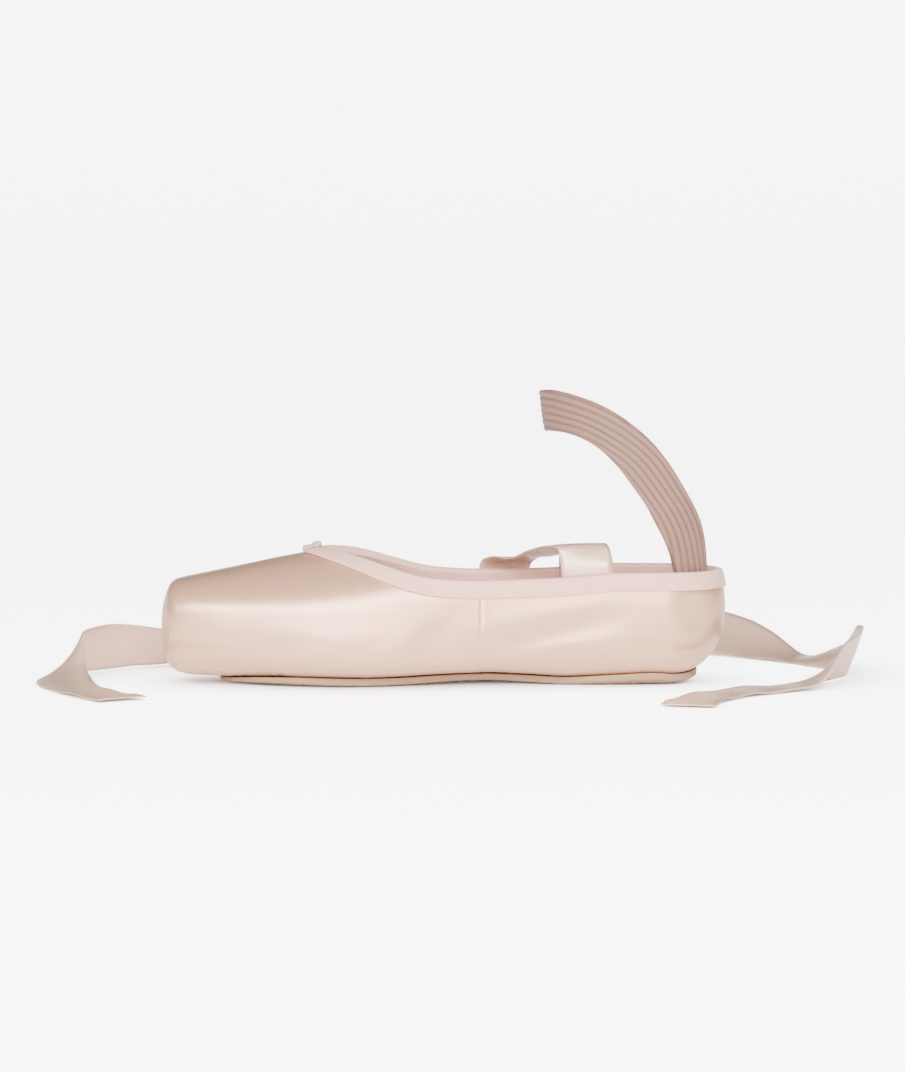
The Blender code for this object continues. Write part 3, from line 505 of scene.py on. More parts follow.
# The last's sections: share of the length, width and its share, widest height, crown and
# its share, lift and its share, squareness below and above, height of the topline.
HEEL_BACK = (0.0, "heel", 1.0, 0.554, "heel", 0.859, "arch", 0.0, 2.2, 2.2, 1.0)
SECTIONS = (
    (HEEL_REACH / LENGTH, "heel", 1.00, 0.464, "heel", 0.949, "arch", 0.0, 2.8, 2.3, 1.0),
    (0.188, "heel", 1.025, 0.429, "heel", 1.00, "arch", 0.0, 3.0, 2.3, 1.0),
    (0.271, "heel", 1.065, 0.393, "heel", 1.00, "arch", 0.0, 3.0, 2.3, 0.968),
    (0.354, "heel", 1.13, 0.357, "heel", 0.974, "arch", 0.6, 3.0, 2.3, 0.948),
    (0.433, "ball", 0.825, 0.339, "instep", 1.286, "arch", 1.0, 3.1, 2.3, 0.941),
    (0.504, "ball", 0.895, 0.321, "instep", 1.205, "arch", 0.8, 3.2, 2.3, 0.946),
    (0.583, "ball", 0.965, 0.313, "instep", 1.116, "arch", 0.25, 3.2, 2.3, 0.95),
    (0.658, "ball", 1.00, 0.313, "instep", 1.054, "arch", 0.0, 3.2, 2.3, 0.95),
    (0.729, "ball", 0.965, 0.321, "instep", 0.998, "arch", 0.0, 3.1, 2.3, 0.95),
    (0.792, "ball", 0.885, 0.339, "instep", 0.948, "arch", 0.0, 3.0, 2.35, 0.95),
    (0.854, "ball", 0.790, 0.366, "toe", 1.163, "arch", 0.0, 2.8, 2.45, 0.95),
    (0.917, "toe", 1.30, 0.402, "toe", 1.089, "toe", 0.05, 2.7, 2.6, 0.95),
    (0.958, "toe", 1.155, 0.42, "toe", 1.042, "toe", 0.25, 2.6, 2.7, 0.95),
    (0.973, "toe", 1.09, 0.434, "toe", 1.022, "toe", 0.50, 2.6, 2.7, 0.95),
    (PLATFORM_EDGE / LENGTH, "toe", 0.985, 0.438, "toe", 0.99, "toe", 1.0, 2.6, 2.7, 0.95),
)
TOPLINE_BLEND, THROAT_CURVE = 7, (2.0, 0.64)
GIRTH_POINTS, GIRTH_SAMPLES, CORNER_PULL = 64, 400, 0.010
SIDE_SEAM = 0.104
# Creases: side (1 left, -1 right), start and end as place along the shoe and
# height, half width, and depth (a minus sign raises a ridge), all in metres.
CREASES = (
    (1, 0.112, 0.013, 0.046, 0.030, 0.0050, 0.00055),
    (1, 0.108, 0.024, 0.060, 0.036, 0.0060, -0.00045),
    (1, 0.100, 0.007, 0.060, 0.015, 0.0040, 0.00040),
    (1, 0.088, 0.014, 0.044, 0.021, 0.0042, -0.00035),
    (1, 0.0140, 0.022, 0.0130, 0.036, 0.0058, 0.00080),
    (1, 0.036, 0.010, 0.026, 0.020, 0.0040, 0.00035),
    (1, 0.132, 0.012, 0.116, 0.030, 0.0060, 0.00035),
    (1, 0.150, 0.010, 0.128, 0.024, 0.0055, -0.00030),
    (1, 0.176, 0.020, 0.205, 0.016, 0.0060, 0.00030),
    (1, 0.126, 0.035, 0.150, 0.040, 0.0045, 0.00030),
    (-1, 0.108, 0.012, 0.052, 0.032, 0.0052, 0.00050),
    (-1, 0.100, 0.022, 0.066, 0.035, 0.0055, -0.00040),
    (-1, 0.092, 0.008, 0.050, 0.016, 0.0042, 0.00035),
    (-1, 0.0150, 0.020, 0.0135, 0.034, 0.0045, 0.00070),
    (-1, 0.140, 0.012, 0.120, 0.028, 0.0060, 0.00035),
    (-1, 0.182, 0.018, 0.208, 0.015, 0.0055, 0.00030),
    (-1, 0.130, 0.034, 0.152, 0.038, 0.0045, 0.00028),
)
CREASE_REACH, CREASE_TAPER = 2.5, 0.15
# Where the relief fades in: along the shoe, up from the floor, down from the collar.
CREASE_HEEL_FADE, SEAM_START_FADE = (0.001, 0.009), (0.0, 0.006)
CREASE_COLLAR_FADE, SEAM_COLLAR_FADE = (0.007, 0.012), (0.006, 0.0075)
UNDERSIDE_FADE = (0.2, 0.75)
# Depth of a seam's groove and height of the allowance beside it, then their places and widths.
SIDE_SEAM_RELIEF, BACK_SEAM_RELIEF = (0.00015, 0.00003), (0.00028, 0.00006)
GROOVE_HALF, RIDGE_OUT, RIDGE_HALF, BACK_SEAM_REACH = 0.0005, 0.0016, 0.0011, 0.02
# The pleats fan out round the outsole's tip, to FAN_END radians on each side.
PLEATS, PLEAT_DEPTH, PLEAT_REACH, PLEAT_SHARPNESS = 21, 0.0009, 0.017, 1.6
PLEAT_CENTRE = SOLE_TIP - 0.030
FAN_FULL, FAN_END, FAN_NARROWING = 1.3, 1.75, 0.12
PLATFORM_ROUND, EDGE_SOFTENING, PLATFORM_DOMING = 0.010, 14, 2.4
PLATFORM_RINGS = (0.97, 0.93, 0.87, 0.78, 0.66, 0.52, 0.38, 0.24, 0.12, 0.0)
WELD, MIRROR_WELD, ON_CENTRE = 2e-6, 2e-5, 1e-5
SATIN_COLOUR, SATIN_SHADE = (0.71, 0.425, 0.275), (0.65, 0.365, 0.225)
SATIN_SOIL = (0.42, 0.33, 0.27)
LINING_COLOUR, LINING_SHADE = (0.90, 0.80, 0.68), (0.80, 0.69, 0.57)
LINING_SOIL = (0.48, 0.39, 0.31)


def smooth(at, places, rows):
    """Each column's value at a place, on a smooth curve that never overshoots its rows."""
    places, rows = np.asarray(places, float), np.asarray(rows, float)
    secants = (np.diff(rows, axis=0).T / np.diff(places)).T
    slopes = np.gradient(rows, places, axis=0)
    before, after = secants[:-1], secants[1:]
    least = 3 * np.minimum(abs(before), abs(after)) * (before * after > 0)
    slopes[1:-1] = np.clip(slopes[1:-1], -least, least)
    at = float(np.clip(at, places[0], places[-1]))
    k = min(max(int(np.searchsorted(places, at)) - 1, 0), len(places) - 2)
    return eased(places, rows, slopes, k, at)


def section_sizes(row):
    """Half width, widest height, crown, keel, squareness below and above, topline height."""
    _, width_of, width, wide, crown_of, crown, lift_of, lift, feather, vamp, collar = row
    keel = SOLE_THICKNESS + SEAT_GAP + LIFTS[lift_of] * lift
    return (
        WIDTHS[width_of] * width / 2, INSTEP_HEIGHT * wide, CROWNS[crown_of] * crown, keel,
        feather, vamp, COLLAR_HEIGHT * collar,
    )


SECTION_PLACES = [row[0] * LENGTH for row in SECTIONS]
SECTION_SIZES = [section_sizes(row) for row in SECTIONS]
BACK_SIZES = np.array(section_sizes(HEEL_BACK))


@lru_cache(maxsize=None)
def section_at(track):
    """The section at a place on the track: round the heel up to HEEL_REACH, then straight."""
    if track >= HEEL_REACH:
        return smooth(track, SECTION_PLACES, SECTION_SIZES)
    side = math.sin(math.pi / 2 * track / HEEL_REACH) ** 2
    return BACK_SIZES * (1 - side) + np.array(SECTION_SIZES[0]) * side


def last_points(track, angles):
    """Points of the last. Angle: -90 degrees at the keel, 0 at the widest, 90 at the crown."""
    angles = np.atleast_1d(angles)
    half, wide, crown, keel, feather, vamp, _ = section_at(track)
    square = np.where(angles > 0, vamp, feather)
    reach = np.maximum(np.cos(angles), 0.0) ** (2 / square)
    rise = abs(np.sin(angles)) ** (2 / square)
    z = np.where(angles > 0, wide + (crown - wide) * rise, wide - (wide - keel) * rise)
    turn = math.pi / 2 * min(track / HEEL_REACH, 1.0)
    if track >= HEEL_REACH:
        return np.stack([np.full(len(angles), track), half * reach, z], axis=1)
    back = HEEL_REACH * math.cos(turn) * reach
    return np.stack([HEEL_REACH - back, half * math.sin(turn) * reach, z], axis=1)


def girth_of(share, square):
    """The angle at which a section has this share of its half width."""
    return math.acos(min(max(share, 0.0), 1.0) ** (square / 2))


def topline_angle(track):
    """How far up the girth the topline sits. 90 degrees means that the vamp is closed."""
    if track >= THROAT:
        return math.pi / 2
    half, wide, crown, _, _, vamp, collar = section_at(track)
    by_height = math.asin(((collar - wide) / (crown - wide)) ** (vamp / 2))
    open_share = max(1 - (THROAT - track) / THROAT_LENGTH, 0.0)
    squareness, roundness = THROAT_CURVE
    throat = THROAT_WIDTH / 2 * (1 - open_share**squareness) ** roundness
    by_throat = girth_of(throat / half, vamp)
    blended = (by_height**TOPLINE_BLEND + by_throat**TOPLINE_BLEND) ** (1 / TOPLINE_BLEND)
    return min(blended, math.pi / 2)


def soft_step(low, high, value):
    share = min(max((value - low) / (high - low), 0.0), 1.0)
    return share * share * (3 - 2 * share)


def wall_at(track):
    """The wall: thin quarters, and the stiff box from the throat to the platform."""
    share = soft_step(THROAT - THROAT_LENGTH * 0.5, THROAT + THROAT_LENGTH * 0.3, track)
    return QUARTER_WALL + (BOX_WALL - QUARTER_WALL) * share


SOLE_WIDTHS = {"heel": SOLE_HEEL_WIDTH, "waist": SOLE_WAIST_WIDTH, "ball": SOLE_BALL_WIDTH}
# The outsole's outline: share of its length, named width, share of it, share of the skive.
OUTSOLE = (
    (0.0, "heel", 0.10, 0.0), (0.012, "heel", 0.42, 0.0), (0.035, "heel", 0.72, 0.0),
    (0.07, "heel", 0.92, 0.0), (0.12, "heel", 1.0, 0.0), (0.20, "heel", 0.95, 0.0),
    (0.31, "waist", 1.10, 0.0), (0.41, "waist", 1.0, 0.0), (0.51, "waist", 1.25, 0.0),
    (0.61, "ball", 0.82, 0.0), (0.71, "ball", 0.98, 0.0), (0.78, "ball", 1.0, 0.05),
    (0.86, "ball", 0.90, 0.35), (0.93, "ball", 0.68, 0.7), (0.975, "ball", 0.42, 0.95),
    (0.993, "ball", 0.22, 1.0), (1.0, "ball", 0.06, 1.0),
)


@lru_cache(maxsize=None)
def outsole_sizes(place):
    """Half width and thickness of the outsole at a place along the shoe."""
    share = (place - SOLE_HEEL_INSET) / (SOLE_TIP - SOLE_HEEL_INSET)
    rows = [(SOLE_WIDTHS[of] * width / 2, thin) for _, of, width, thin in OUTSOLE]
    half, thin = smooth(share, [row[0] for row in OUTSOLE], rows)
    return half, SOLE_THICKNESS + (SOLE_TIP_THICKNESS - SOLE_THICKNESS) * thin


def opening_angle(track):
    """Where the turned-in edge of the upper ends under the outsole."""
    half, *_, feather, _, _ = section_at(track)
    if track >= SEAM_CLOSED:
        return -math.pi / 2
    if track < HEEL_REACH:
        opening = SOLE_HEEL_WIDTH / 2 - LASTING_MARGIN
    else:
        width = outsole_sizes(track)[0] - LASTING_MARGIN
        closing = math.sqrt(max(SEAM_CLOSED - track, 0.0) / LASTING_MARGIN)
        opening = max(width, LASTING_MARGIN) * min(closing, 1.0)
    return -girth_of(opening / half, feather)


def half_section(track, low, high):
    """Half a section from one angle to another, its points closest where it bends most."""
    points = last_points(track, np.linspace(low, high, GIRTH_SAMPLES))
    steps = np.diff(points, axis=0)
    lengths = np.linalg.norm(steps, axis=1)
    ways = steps / np.maximum(lengths[:, None], 1e-9)
    bends = np.arccos(np.clip((ways[:-1] * ways[1:]).sum(axis=1), -1, 1))
    weight = lengths + CORNER_PULL * np.concatenate([[0], bends])
    total = np.concatenate([[0], np.cumsum(weight)])
    shares = np.linspace(0, total[-1], GIRTH_POINTS)
    return np.stack([np.interp(shares, total, points[:, k]) for k in range(3)], axis=1)


def upper_tracks():
    """Sections close together at the seams, the throat and the platform's edge."""
    throat = [THROAT - THROAT_LENGTH * share**1.5 for share in np.linspace(0.95, 0.0, 44)]
    before_seam, after_seam, edge = SIDE_SEAM - 0.003, SIDE_SEAM + 0.003, PLATFORM_EDGE - 0.004
    # from, to, how many sections
    stretches = (
        (0.0, 0.003, 11), (0.004, HEEL_REACH, 27), (HEEL_REACH, before_seam, 40),
        (before_seam, after_seam, 17), (after_seam, throat[0], 12),
        (THROAT + 0.0008, SEAM_CLOSED, 24), (SEAM_CLOSED, edge, 18), (edge, PLATFORM_EDGE, 9),
    )
    tracks = throat + [at for stretch in stretches for at in np.linspace(*stretch)]
    return sorted({round(float(track), 6) for track in tracks})


def placed(points):
    """From a place measured from the heel to the frame of the whole shoe."""
    return np.asarray(points) - np.array([LENGTH / 2, 0.0, 0.0])


def crease_depth(side, place, height):
    """How far the creases press the satin in here, each a soft trough along its own line."""
    depth = 0.0
    here = np.array([place, height])
    for of_side, x0, z0, x1, z1, half, deep in CREASES:
        if side * of_side < 0:
            continue
        start, line = np.array([x0, z0]), np.array([x1 - x0, z1 - z0])
        share = float(np.clip(np.dot(here - start, line) / np.dot(line, line), 0, 1))
        away = np.linalg.norm(here - start - line * share) / half
        if away < CREASE_REACH:
            taper = math.sin(math.pi * (CREASE_TAPER + (1 - 2 * CREASE_TAPER) * share))
            depth += deep * math.exp(-away * away) * taper
    return depth * soft_step(*CREASE_HEEL_FADE, place)


def seam_relief(away, groove, ridge):
    """A narrow groove, with the seam allowance raised beside it."""
    beside = (away - RIDGE_OUT) / RIDGE_HALF
    return groove * math.exp(-((away / GROOVE_HALF) ** 2)) - ridge * math.exp(-(beside**2))


def seam_depth(place, y):
    """The side seams and, near the heel's end, the back seam."""
    depth = seam_relief(abs(place - SIDE_SEAM), *SIDE_SEAM_RELIEF)
    if place < BACK_SEAM_REACH:
        depth += seam_relief(abs(y), *BACK_SEAM_RELIEF)
    return depth


def pleat_depth(place, y):
    """The pleats that fan out from the tip of the outsole, fading over the toe's underside."""
    turn = math.atan2(y, place - PLEAT_CENTRE)
    if abs(turn) > FAN_END:
        return 0.0
    away = math.hypot(place - PLEAT_CENTRE, y)
    rim = (SOLE_TIP - PLEAT_CENTRE) * (1 - FAN_NARROWING * abs(math.sin(turn)))
    wave = abs(((turn / FAN_END + 1) * PLEATS / 2) % 1 - 0.5) * 2
    fade = 1 - soft_step(rim, rim + PLEAT_REACH, away)
    return PLEAT_DEPTH * wave**PLEAT_SHARPNESS * fade * (1 - soft_step(FAN_FULL, FAN_END, abs(turn)))


def welded(mesh):
    """Doubles merged and faces turned outwards."""
    bmesh.ops.remove_doubles(mesh, verts=mesh.verts, dist=WELD)
    bmesh.ops.recalc_face_normals(mesh, faces=mesh.faces)
    return mesh


def mirrored(mesh):
    """Both sides of a half that was built on the shoe's left."""
    bmesh.ops.remove_doubles(mesh, verts=mesh.verts, dist=WELD)
    for vert in mesh.verts:
        if abs(vert.co.y) < ON_CENTRE:
            vert.co.y = 0.0
    whole = mesh.verts[:] + mesh.edges[:] + mesh.faces[:]
    bmesh.ops.mirror(mesh, geom=whole, merge_dist=MIRROR_WELD, axis="Y")
    return welded(mesh)


def upper_mesh():
    rows = [half_section(track, opening_angle(track), topline_angle(track)) for track in upper_tracks()]
    edge = rows[-1]
    middle = np.array([0.0, 0.0, (edge[:, 2].min() + edge[:, 2].max()) / 2])
    for share in PLATFORM_RINGS:
        row = middle + (edge - middle) * share
        row[:, 0] = PLATFORM_EDGE + PLATFORM_CROWN * (1 - share**PLATFORM_DOMING)
        rows.append(row)
    mesh = cloth_grid([placed(row) for row in rows])
    mirrored(mesh)
    bmesh.ops.dissolve_degenerate(mesh, dist=1e-7, edges=mesh.edges)
    mesh.normal_update()
    toe = max(mesh.faces, key=lambda face: face.calc_center_median().x)
    if toe.normal.x < 0:
        bmesh.ops.reverse_faces(mesh, faces=mesh.faces)
    for _ in range(EDGE_SOFTENING):
        box_end = [vert for vert in mesh.verts if vert.co.x > LENGTH / 2 - PLATFORM_ROUND]
        bmesh.ops.smooth_vert(
            mesh, verts=box_end, factor=0.5, use_axis_x=True, use_axis_y=True, use_axis_z=True
        )
    mesh.normal_update()
    moves = {}
    for vert in mesh.verts:
        place, y, z = vert.co.x + LENGTH / 2, vert.co.y, vert.co.z
        collar = section_at(max(place, 0.0))[6] if place < THROAT else 1.0
        below = collar - z
        clear = soft_step(*CREASE_COLLAR_FADE, below)
        up = soft_step(*SEAM_START_FADE, z) * soft_step(*SEAM_COLLAR_FADE, below)
        down = soft_step(*UNDERSIDE_FADE, -vert.normal.z)
        depth = crease_depth(math.copysign(1, y), place, z) * clear
        depth += seam_depth(place, y) * up + pleat_depth(place, y) * down
        moves[vert] = -vert.normal * depth
    for vert, move in moves.items():
        vert.co += move
    return mesh


def plain_weave_group():
    """A plain weave on the UV map: threads over and under, with uneven yarn."""
    group, into, out = node_group(
        "plain_weave", (("Thread", 0.0005), ("Unevenness", 0.4)),
        ("Height", "Tone"),
    )
    apart = axes_of(group, "UV")
    turn = calc(group, "DIVIDE", math.pi, into.outputs["Thread"])
    warp, weft = (
        calc(group, "SINE", calc(group, "MULTIPLY", apart[axis], turn)) for axis in "XY"
    )
    where = add_node(group, "TexCoord").outputs["UV"]
    rough = calc(group, "MULTIPLY", noise(group, where, 900.0, 2.0), into.outputs["Unevenness"])
    height = calc(group, "ADD", calc(group, "MULTIPLY", warp, weft), rough)
    group.links.new(height, out.inputs["Height"])
    group.links.new(noise(group, where, 60.0, 4.0), out.inputs["Tone"])
    return group


PLAIN_WEAVE = plain_weave_group()


def woven(name, colour, shade, soil, thread, strength, bump, roughness, soil_high):
    """A matt woven finish: plain weave in relief, mottled tone, and soil where it is handled."""
    material, tree, shader = new_material(name, {
        "Roughness": roughness, "Specular IOR Level": 0.3, "Sheen Weight": 0.3,
        "Sheen Roughness": 0.5,
    })
    weave = place_group(tree, PLAIN_WEAVE, Thread=thread)
    dirt = place_group(tree, SOILING, High=soil_high, Strength=strength)
    soiled = blend(tree, dirt["Mask"], blend(tree, weave["Tone"], shade, colour), soil)
    surface(tree, shader, soiled, weave["Height"], bump, thread * 0.3)
    return material


peach_satin = satin(
    "peach_satin", SATIN_COLOUR, SATIN_SHADE, SATIN_SOIL,
    strength=0.22, roughness=0.28, threads=3000.0, bump=0.10, metal=0.42,
)
canvas_lining = woven(
    "canvas_lining", LINING_COLOUR, LINING_SHADE, LINING_SOIL,
    thread=0.0007, strength=0.3, bump=0.6, roughness=0.85, soil_high=0.02,
)
upper = new_piece("satin_upper", upper_mesh(), [peach_satin, canvas_lining], ["upper"])
stiff = upper.vertex_groups.new(name="box")
for vert in upper.data.vertices:
    share = (wall_at(vert.co.x + LENGTH / 2) - QUARTER_WALL) / (BOX_WALL - QUARTER_WALL)
    stiff.add([vert.index], share, "REPLACE")
wall = upper.modifiers.new("wall", "SOLIDIFY")
wall.thickness, wall.offset = BOX_WALL, -1
wall.use_even_offset = True
wall.vertex_group = "box"
wall.thickness_vertex_group = QUARTER_WALL / BOX_WALL
wall.material_offset = wall.material_offset_rim = 1

# Topline binding: a bias-cut cotton tape folded over the collar's edge and stitched down.
# It makes the tunnel for the drawstring, which puckers it a little all the way round.
BINDING_WIDTH, BINDING_THICKNESS, FOLD_GAP = 0.0066, 0.0007, 0.0005
PUCKER_PITCH, PUCKER_DEPTH = 0.0041, 0.00010
STITCH_PITCH, STITCH_LENGTH, STITCH_WIDTH, STITCH_INSET = 0.0026, 0.0018, 0.00036, 0.0011
BINDING_COLOUR, BINDING_SHADE = (0.84, 0.50, 0.40), (0.76, 0.42, 0.33)
THREAD_COLOUR = (0.80, 0.60, 0.52)
# The girth's angle just short of the crown, where a way out still has a side.
NEAR_CROWN = math.pi / 2 - 1e-4


def last_normal(track, angle):
    """The way out of the last at a point, from its neighbours on the track and the girth."""
    step, turn = LENGTH / 600, 0.01
    low, high = max(angle - turn, -NEAR_CROWN), min(angle + turn, NEAR_CROWN)
    near = max(track, step)
    along = last_points(near + step, angle)[0] - last_points(near - step, angle)[0]
    round_up = last_points(near, high)[0] - last_points(near, low)[0]
    normal = unit(np.cross(round_up, along))
    if track == 0.0:
        normal[1] = 0.0
    return normal


def track_over(place, side):
    """The track over a point of the floor, and how far out it lies as a share of the width."""
    reach = side / section_at(max(place, HEEL_REACH))[0]
    if place >= HEEL_REACH:
        return place, reach
    back = (HEEL_REACH - place) / HEEL_REACH
    turn = math.atan2(max(reach, 0.0), back)
    return HEEL_REACH * turn / (math.pi / 2), math.hypot(reach, back)


def located(point):
    """The track and angle of the last's point that lies under a point near it."""
    place, side, z = point
    track, reach = track_over(place, side)
    _, wide, crown, _, _, vamp, _ = section_at(track)
    rise = max((z - wide) / (crown - wide), 0.0)
    return track, math.atan2(rise ** (vamp / 2), max(reach, 0.0) ** (vamp / 2))


BINDING_TRACKS = [track for track in upper_tracks() if track <= THROAT + 1e-6]


def topline_frames():
    """Each topline point with the way down the upper from it."""
    edge = [last_points(track, topline_angle(track))[0] for track in BINDING_TRACKS]
    flip = np.array([1, -1, 1])
    whole = [edge[1] * flip] + edge + [edge[-2] * flip]
    ways = []
    for k, track in enumerate(BINDING_TRACKS):
        last = k == len(BINDING_TRACKS) - 1
        along = whole[k + 2] - whole[k]
        normal = last_normal(track, min(topline_angle(track), math.pi / 2 - 0.03))
        if k == 0 or last:
            along, normal = np.array([0, along[1], 0]), normal * np.array([1, 0, 1])
        down = unit(np.cross(along, normal))
        if not last and down[2] > 0 or last and down[0] < 0:
            down = -down
        ways.append(down)
    return edge, ways


def binding_profile(wall):
    """The folded tape's section: distance down from the topline, and height off the last."""
    out, width, fold, inner = FOLD_GAP + BINDING_THICKNESS, BINDING_WIDTH, FOLD_GAP, -wall
    round_in = BINDING_THICKNESS * 0.3
    outside = [(width, fold), (width, out - round_in), (width - round_in, out)]
    outside += [(width * share, out) for share in (0.88, 0.8, 0.66, 0.5, 0.33, 0.16, 0.0)]
    middle, reach = inner / 2, -inner / 2 + out
    turns = [math.radians(turn) for turn in range(15, 180, 15)]
    over = [(-out * math.sin(turn), middle + reach * math.cos(turn)) for turn in turns]
    inside = [(width * share, inner - out) for share in (0.0, 0.2, 0.4, 0.6, 0.8, 0.96)]
    back = [(width, inner - out + round_in), (width, inner - fold), (width / 2, inner - fold)]
    back += [(-fold, inner - fold), (-fold, fold), (width / 2, fold), (width, fold)]
    return outside + over + inside + back


def binding_point(edge, down, distance, proud):
    spot, angle = located(edge + down * distance)
    angle = min(angle, NEAR_CROWN)
    return last_points(spot, angle)[0] + proud * last_normal(spot, angle)


def binding_rows(edge, ways):
    rows = []
    for k, (track, run) in enumerate(zip(BINDING_TRACKS, run_of(edge))):
        waves = 2 * math.pi * run / PUCKER_PITCH
        pucker = PUCKER_DEPTH * (math.sin(waves) + 0.6 * math.sin(waves / 2.7 + 1.0))
        row = []
        for distance, height in binding_profile(wall_at(track)):
            outer = height > FOLD_GAP + BINDING_THICKNESS / 2
            swell = pucker * (1 - abs(distance / BINDING_WIDTH - 0.45)) if outer else 0.0
            point = binding_point(edge[k], ways[k], distance, height + swell)
            if k in (0, len(BINDING_TRACKS) - 1):
                point[1] = 0.0
            row.append(point)
        rows.append(placed(row))
    return rows


def topline_stitches(edge, ways):
    """One joined mesh of short stitches along the tape's lower edge, both sides."""
    height, distance = FOLD_GAP + BINDING_THICKNESS + STITCH_WIDTH * 0.1, BINDING_WIDTH - STITCH_INSET
    line = np.array([binding_point(*spot, distance, height) for spot in zip(edge, ways)])
    line = np.concatenate([(line * np.array([1, -1, 1]))[::-1], line[1:]])
    runs = run_of(line)
    mesh = bmesh.new()
    for at in np.arange(STITCH_PITCH / 2, runs[-1], STITCH_PITCH):
        here, ahead = spot_on(line, runs, at), spot_on(line, runs, at + STITCH_LENGTH / 2)
        way = Vector(ahead - here).to_track_quat("X", "Z").to_matrix().to_4x4()
        place = Matrix.Translation(Vector(placed([here])[0])) @ way
        size = Matrix.Diagonal((STITCH_LENGTH / 2, STITCH_WIDTH / 2, STITCH_WIDTH / 2, 1))
        bmesh.ops.create_icosphere(mesh, subdivisions=1, radius=1.0, matrix=place @ size)
    return mesh


edge, ways = topline_frames()
binding_mesh = cloth_grid(binding_rows(edge, ways))
tape = woven(
    "binding_tape", BINDING_COLOUR, BINDING_SHADE, SATIN_SOIL,
    thread=0.00042, strength=0.15, bump=0.35, roughness=0.6, soil_high=0.055,
)
new_piece("collar_binding", mirrored(binding_mesh), [tape], ["topline_binding"])
thread = woven(
    "binding_thread", THREAD_COLOUR, THREAD_COLOUR, SATIN_SOIL,
    thread=0.0002, strength=0.0, bump=0.3, roughness=0.5, soil_high=0.01,
)
new_piece("binding_stitches", topline_stitches(edge, ways), [thread])

# Drawstring: two-ply cotton cord that runs in the binding. Its two ends come out at the
# middle of the throat, tied there in an overhand knot and cut short.
CORD_DIAMETER, CORD_PITCH, CORD_SIDES = 0.0018, 0.0032, 16
KNOT_RADIUS, KNOT_STATIONS, END_STATIONS = 0.00125, 90, 40
# How far the cord's ends press into the tape, and how deep the groove between its plies is.
CORD_BITE, PLY_DEPTH = 0.0002, 0.14
# Shares of the knot's radius: its strands' swing in and out and up and down, then its reach
# ahead and sideways. Last, the radius of its cord as a share of the cord's diameter.
KNOT_SWING, KNOT_LIFT, KNOT_AHEAD, KNOT_OUT, KNOT_CORD = 0.45, 0.55, 0.85, 1.1, 0.42
STRING_END = ((0.0, 0.0, 0.2), (0.7, 0.25, 0.2), (1.9, 1.0, 0.1), (3.0, 1.55, 0.0), (3.6, 1.8, 0.0))
CORD_COLOUR, CORD_SHADE = (0.66, 0.47, 0.37), (0.50, 0.33, 0.25)
REST_HEIGHT = FOLD_GAP + BINDING_THICKNESS - CORD_BITE + CORD_DIAMETER / 2


def laid_cord(mesh, path, radius):
    """A two-ply cord swept along a path into a mesh, with rounded ends."""
    path = np.array(path)
    runs = run_of(path)
    up = np.array([0.0, 0.0, 1.0])
    angles = np.linspace(0, 2 * math.pi, CORD_SIDES + 1)
    rows = []
    for point, way, at in zip(path, unit(np.gradient(path, axis=0)), runs):
        side = unit(np.cross(way, up))
        up = np.cross(side, way)
        near_end = min(at, runs[-1] - at) / (radius * 0.8)
        size = radius * math.sqrt(max(1 - max(1 - near_end, 0.0) ** 2, 0.0))
        plies = abs(np.cos(angles - 2 * math.pi * at / CORD_PITCH))
        radii = size * (1 - PLY_DEPTH * (1 - plies))
        ring = np.cos(angles)[:, None] * side + np.sin(angles)[:, None] * up
        rows.append(point + radii[:, None] * ring)
    cord = cloth_grid(rows)
    data = bpy.data.meshes.new("cord")
    welded(cord).to_mesh(data)
    cord.free()
    mesh.from_mesh(data)
    bpy.data.meshes.remove(data)


def drawstring_mesh():
    mesh = bmesh.new()
    for side in (-1, 1):
        rough = []
        for ahead, out, lift in np.array(STRING_END) * CORD_DIAMETER:
            half, *_, vamp, _ = section_at(THROAT + ahead)
            angle = min(girth_of(out / half, vamp), NEAR_CROWN)
            normal = last_normal(THROAT + ahead, angle)
            point = last_points(THROAT + ahead, angle)[0] + REST_HEIGHT * normal
            rough.append(point * np.array([1, side, 1]) + np.array([0, 0, lift]))
        places = np.linspace(0, 1, len(rough))
        path = [smooth(share, places, rough) for share in np.linspace(0, 1, END_STATIONS)]
        laid_cord(mesh, placed(path), CORD_DIAMETER / 2)
    middle = last_points(THROAT + CORD_DIAMETER / 3, math.pi / 2 - 1e-3)[0]
    middle = placed([middle])[0] + np.array([0, 0, REST_HEIGHT + CORD_DIAMETER * 0.3])
    loop = []
    for turn in np.linspace(0, 2 * math.pi, KNOT_STATIONS):
        reach = KNOT_RADIUS * (1 + KNOT_SWING * math.cos(3 * turn))
        ahead, out = reach * KNOT_AHEAD * math.cos(2 * turn), reach * KNOT_OUT * math.sin(2 * turn)
        loop.append(middle + np.array([ahead, out, KNOT_RADIUS * KNOT_LIFT * math.sin(3 * turn)]))
    laid_cord(mesh, loop, CORD_DIAMETER * KNOT_CORD)
    return mesh


cotton_cord = woven(
    "drawstring_cord", CORD_COLOUR, CORD_SHADE, SATIN_SOIL,
    thread=0.0003, strength=0.3, bump=0.5, roughness=0.75, soil_high=0.065,
)
new_piece("drawstring_ends", drawstring_mesh(), [cotton_cord], ["drawstring_knot"])

# Elastic: 20 mm ribbed elastic whose ends are sewn inside the quarters beside the heel.
# It keeps the arch that it takes in wear. Rubber cords make seven ribs along it, with
# thinner knitted ground between them.
STRAP_THICKNESS, STRAP_HEIGHT, CLEARANCE = 0.0012, 0.124, 0.0003
ANKLE_WIDTH, ANKLE_DEPTH = 0.053, 0.066
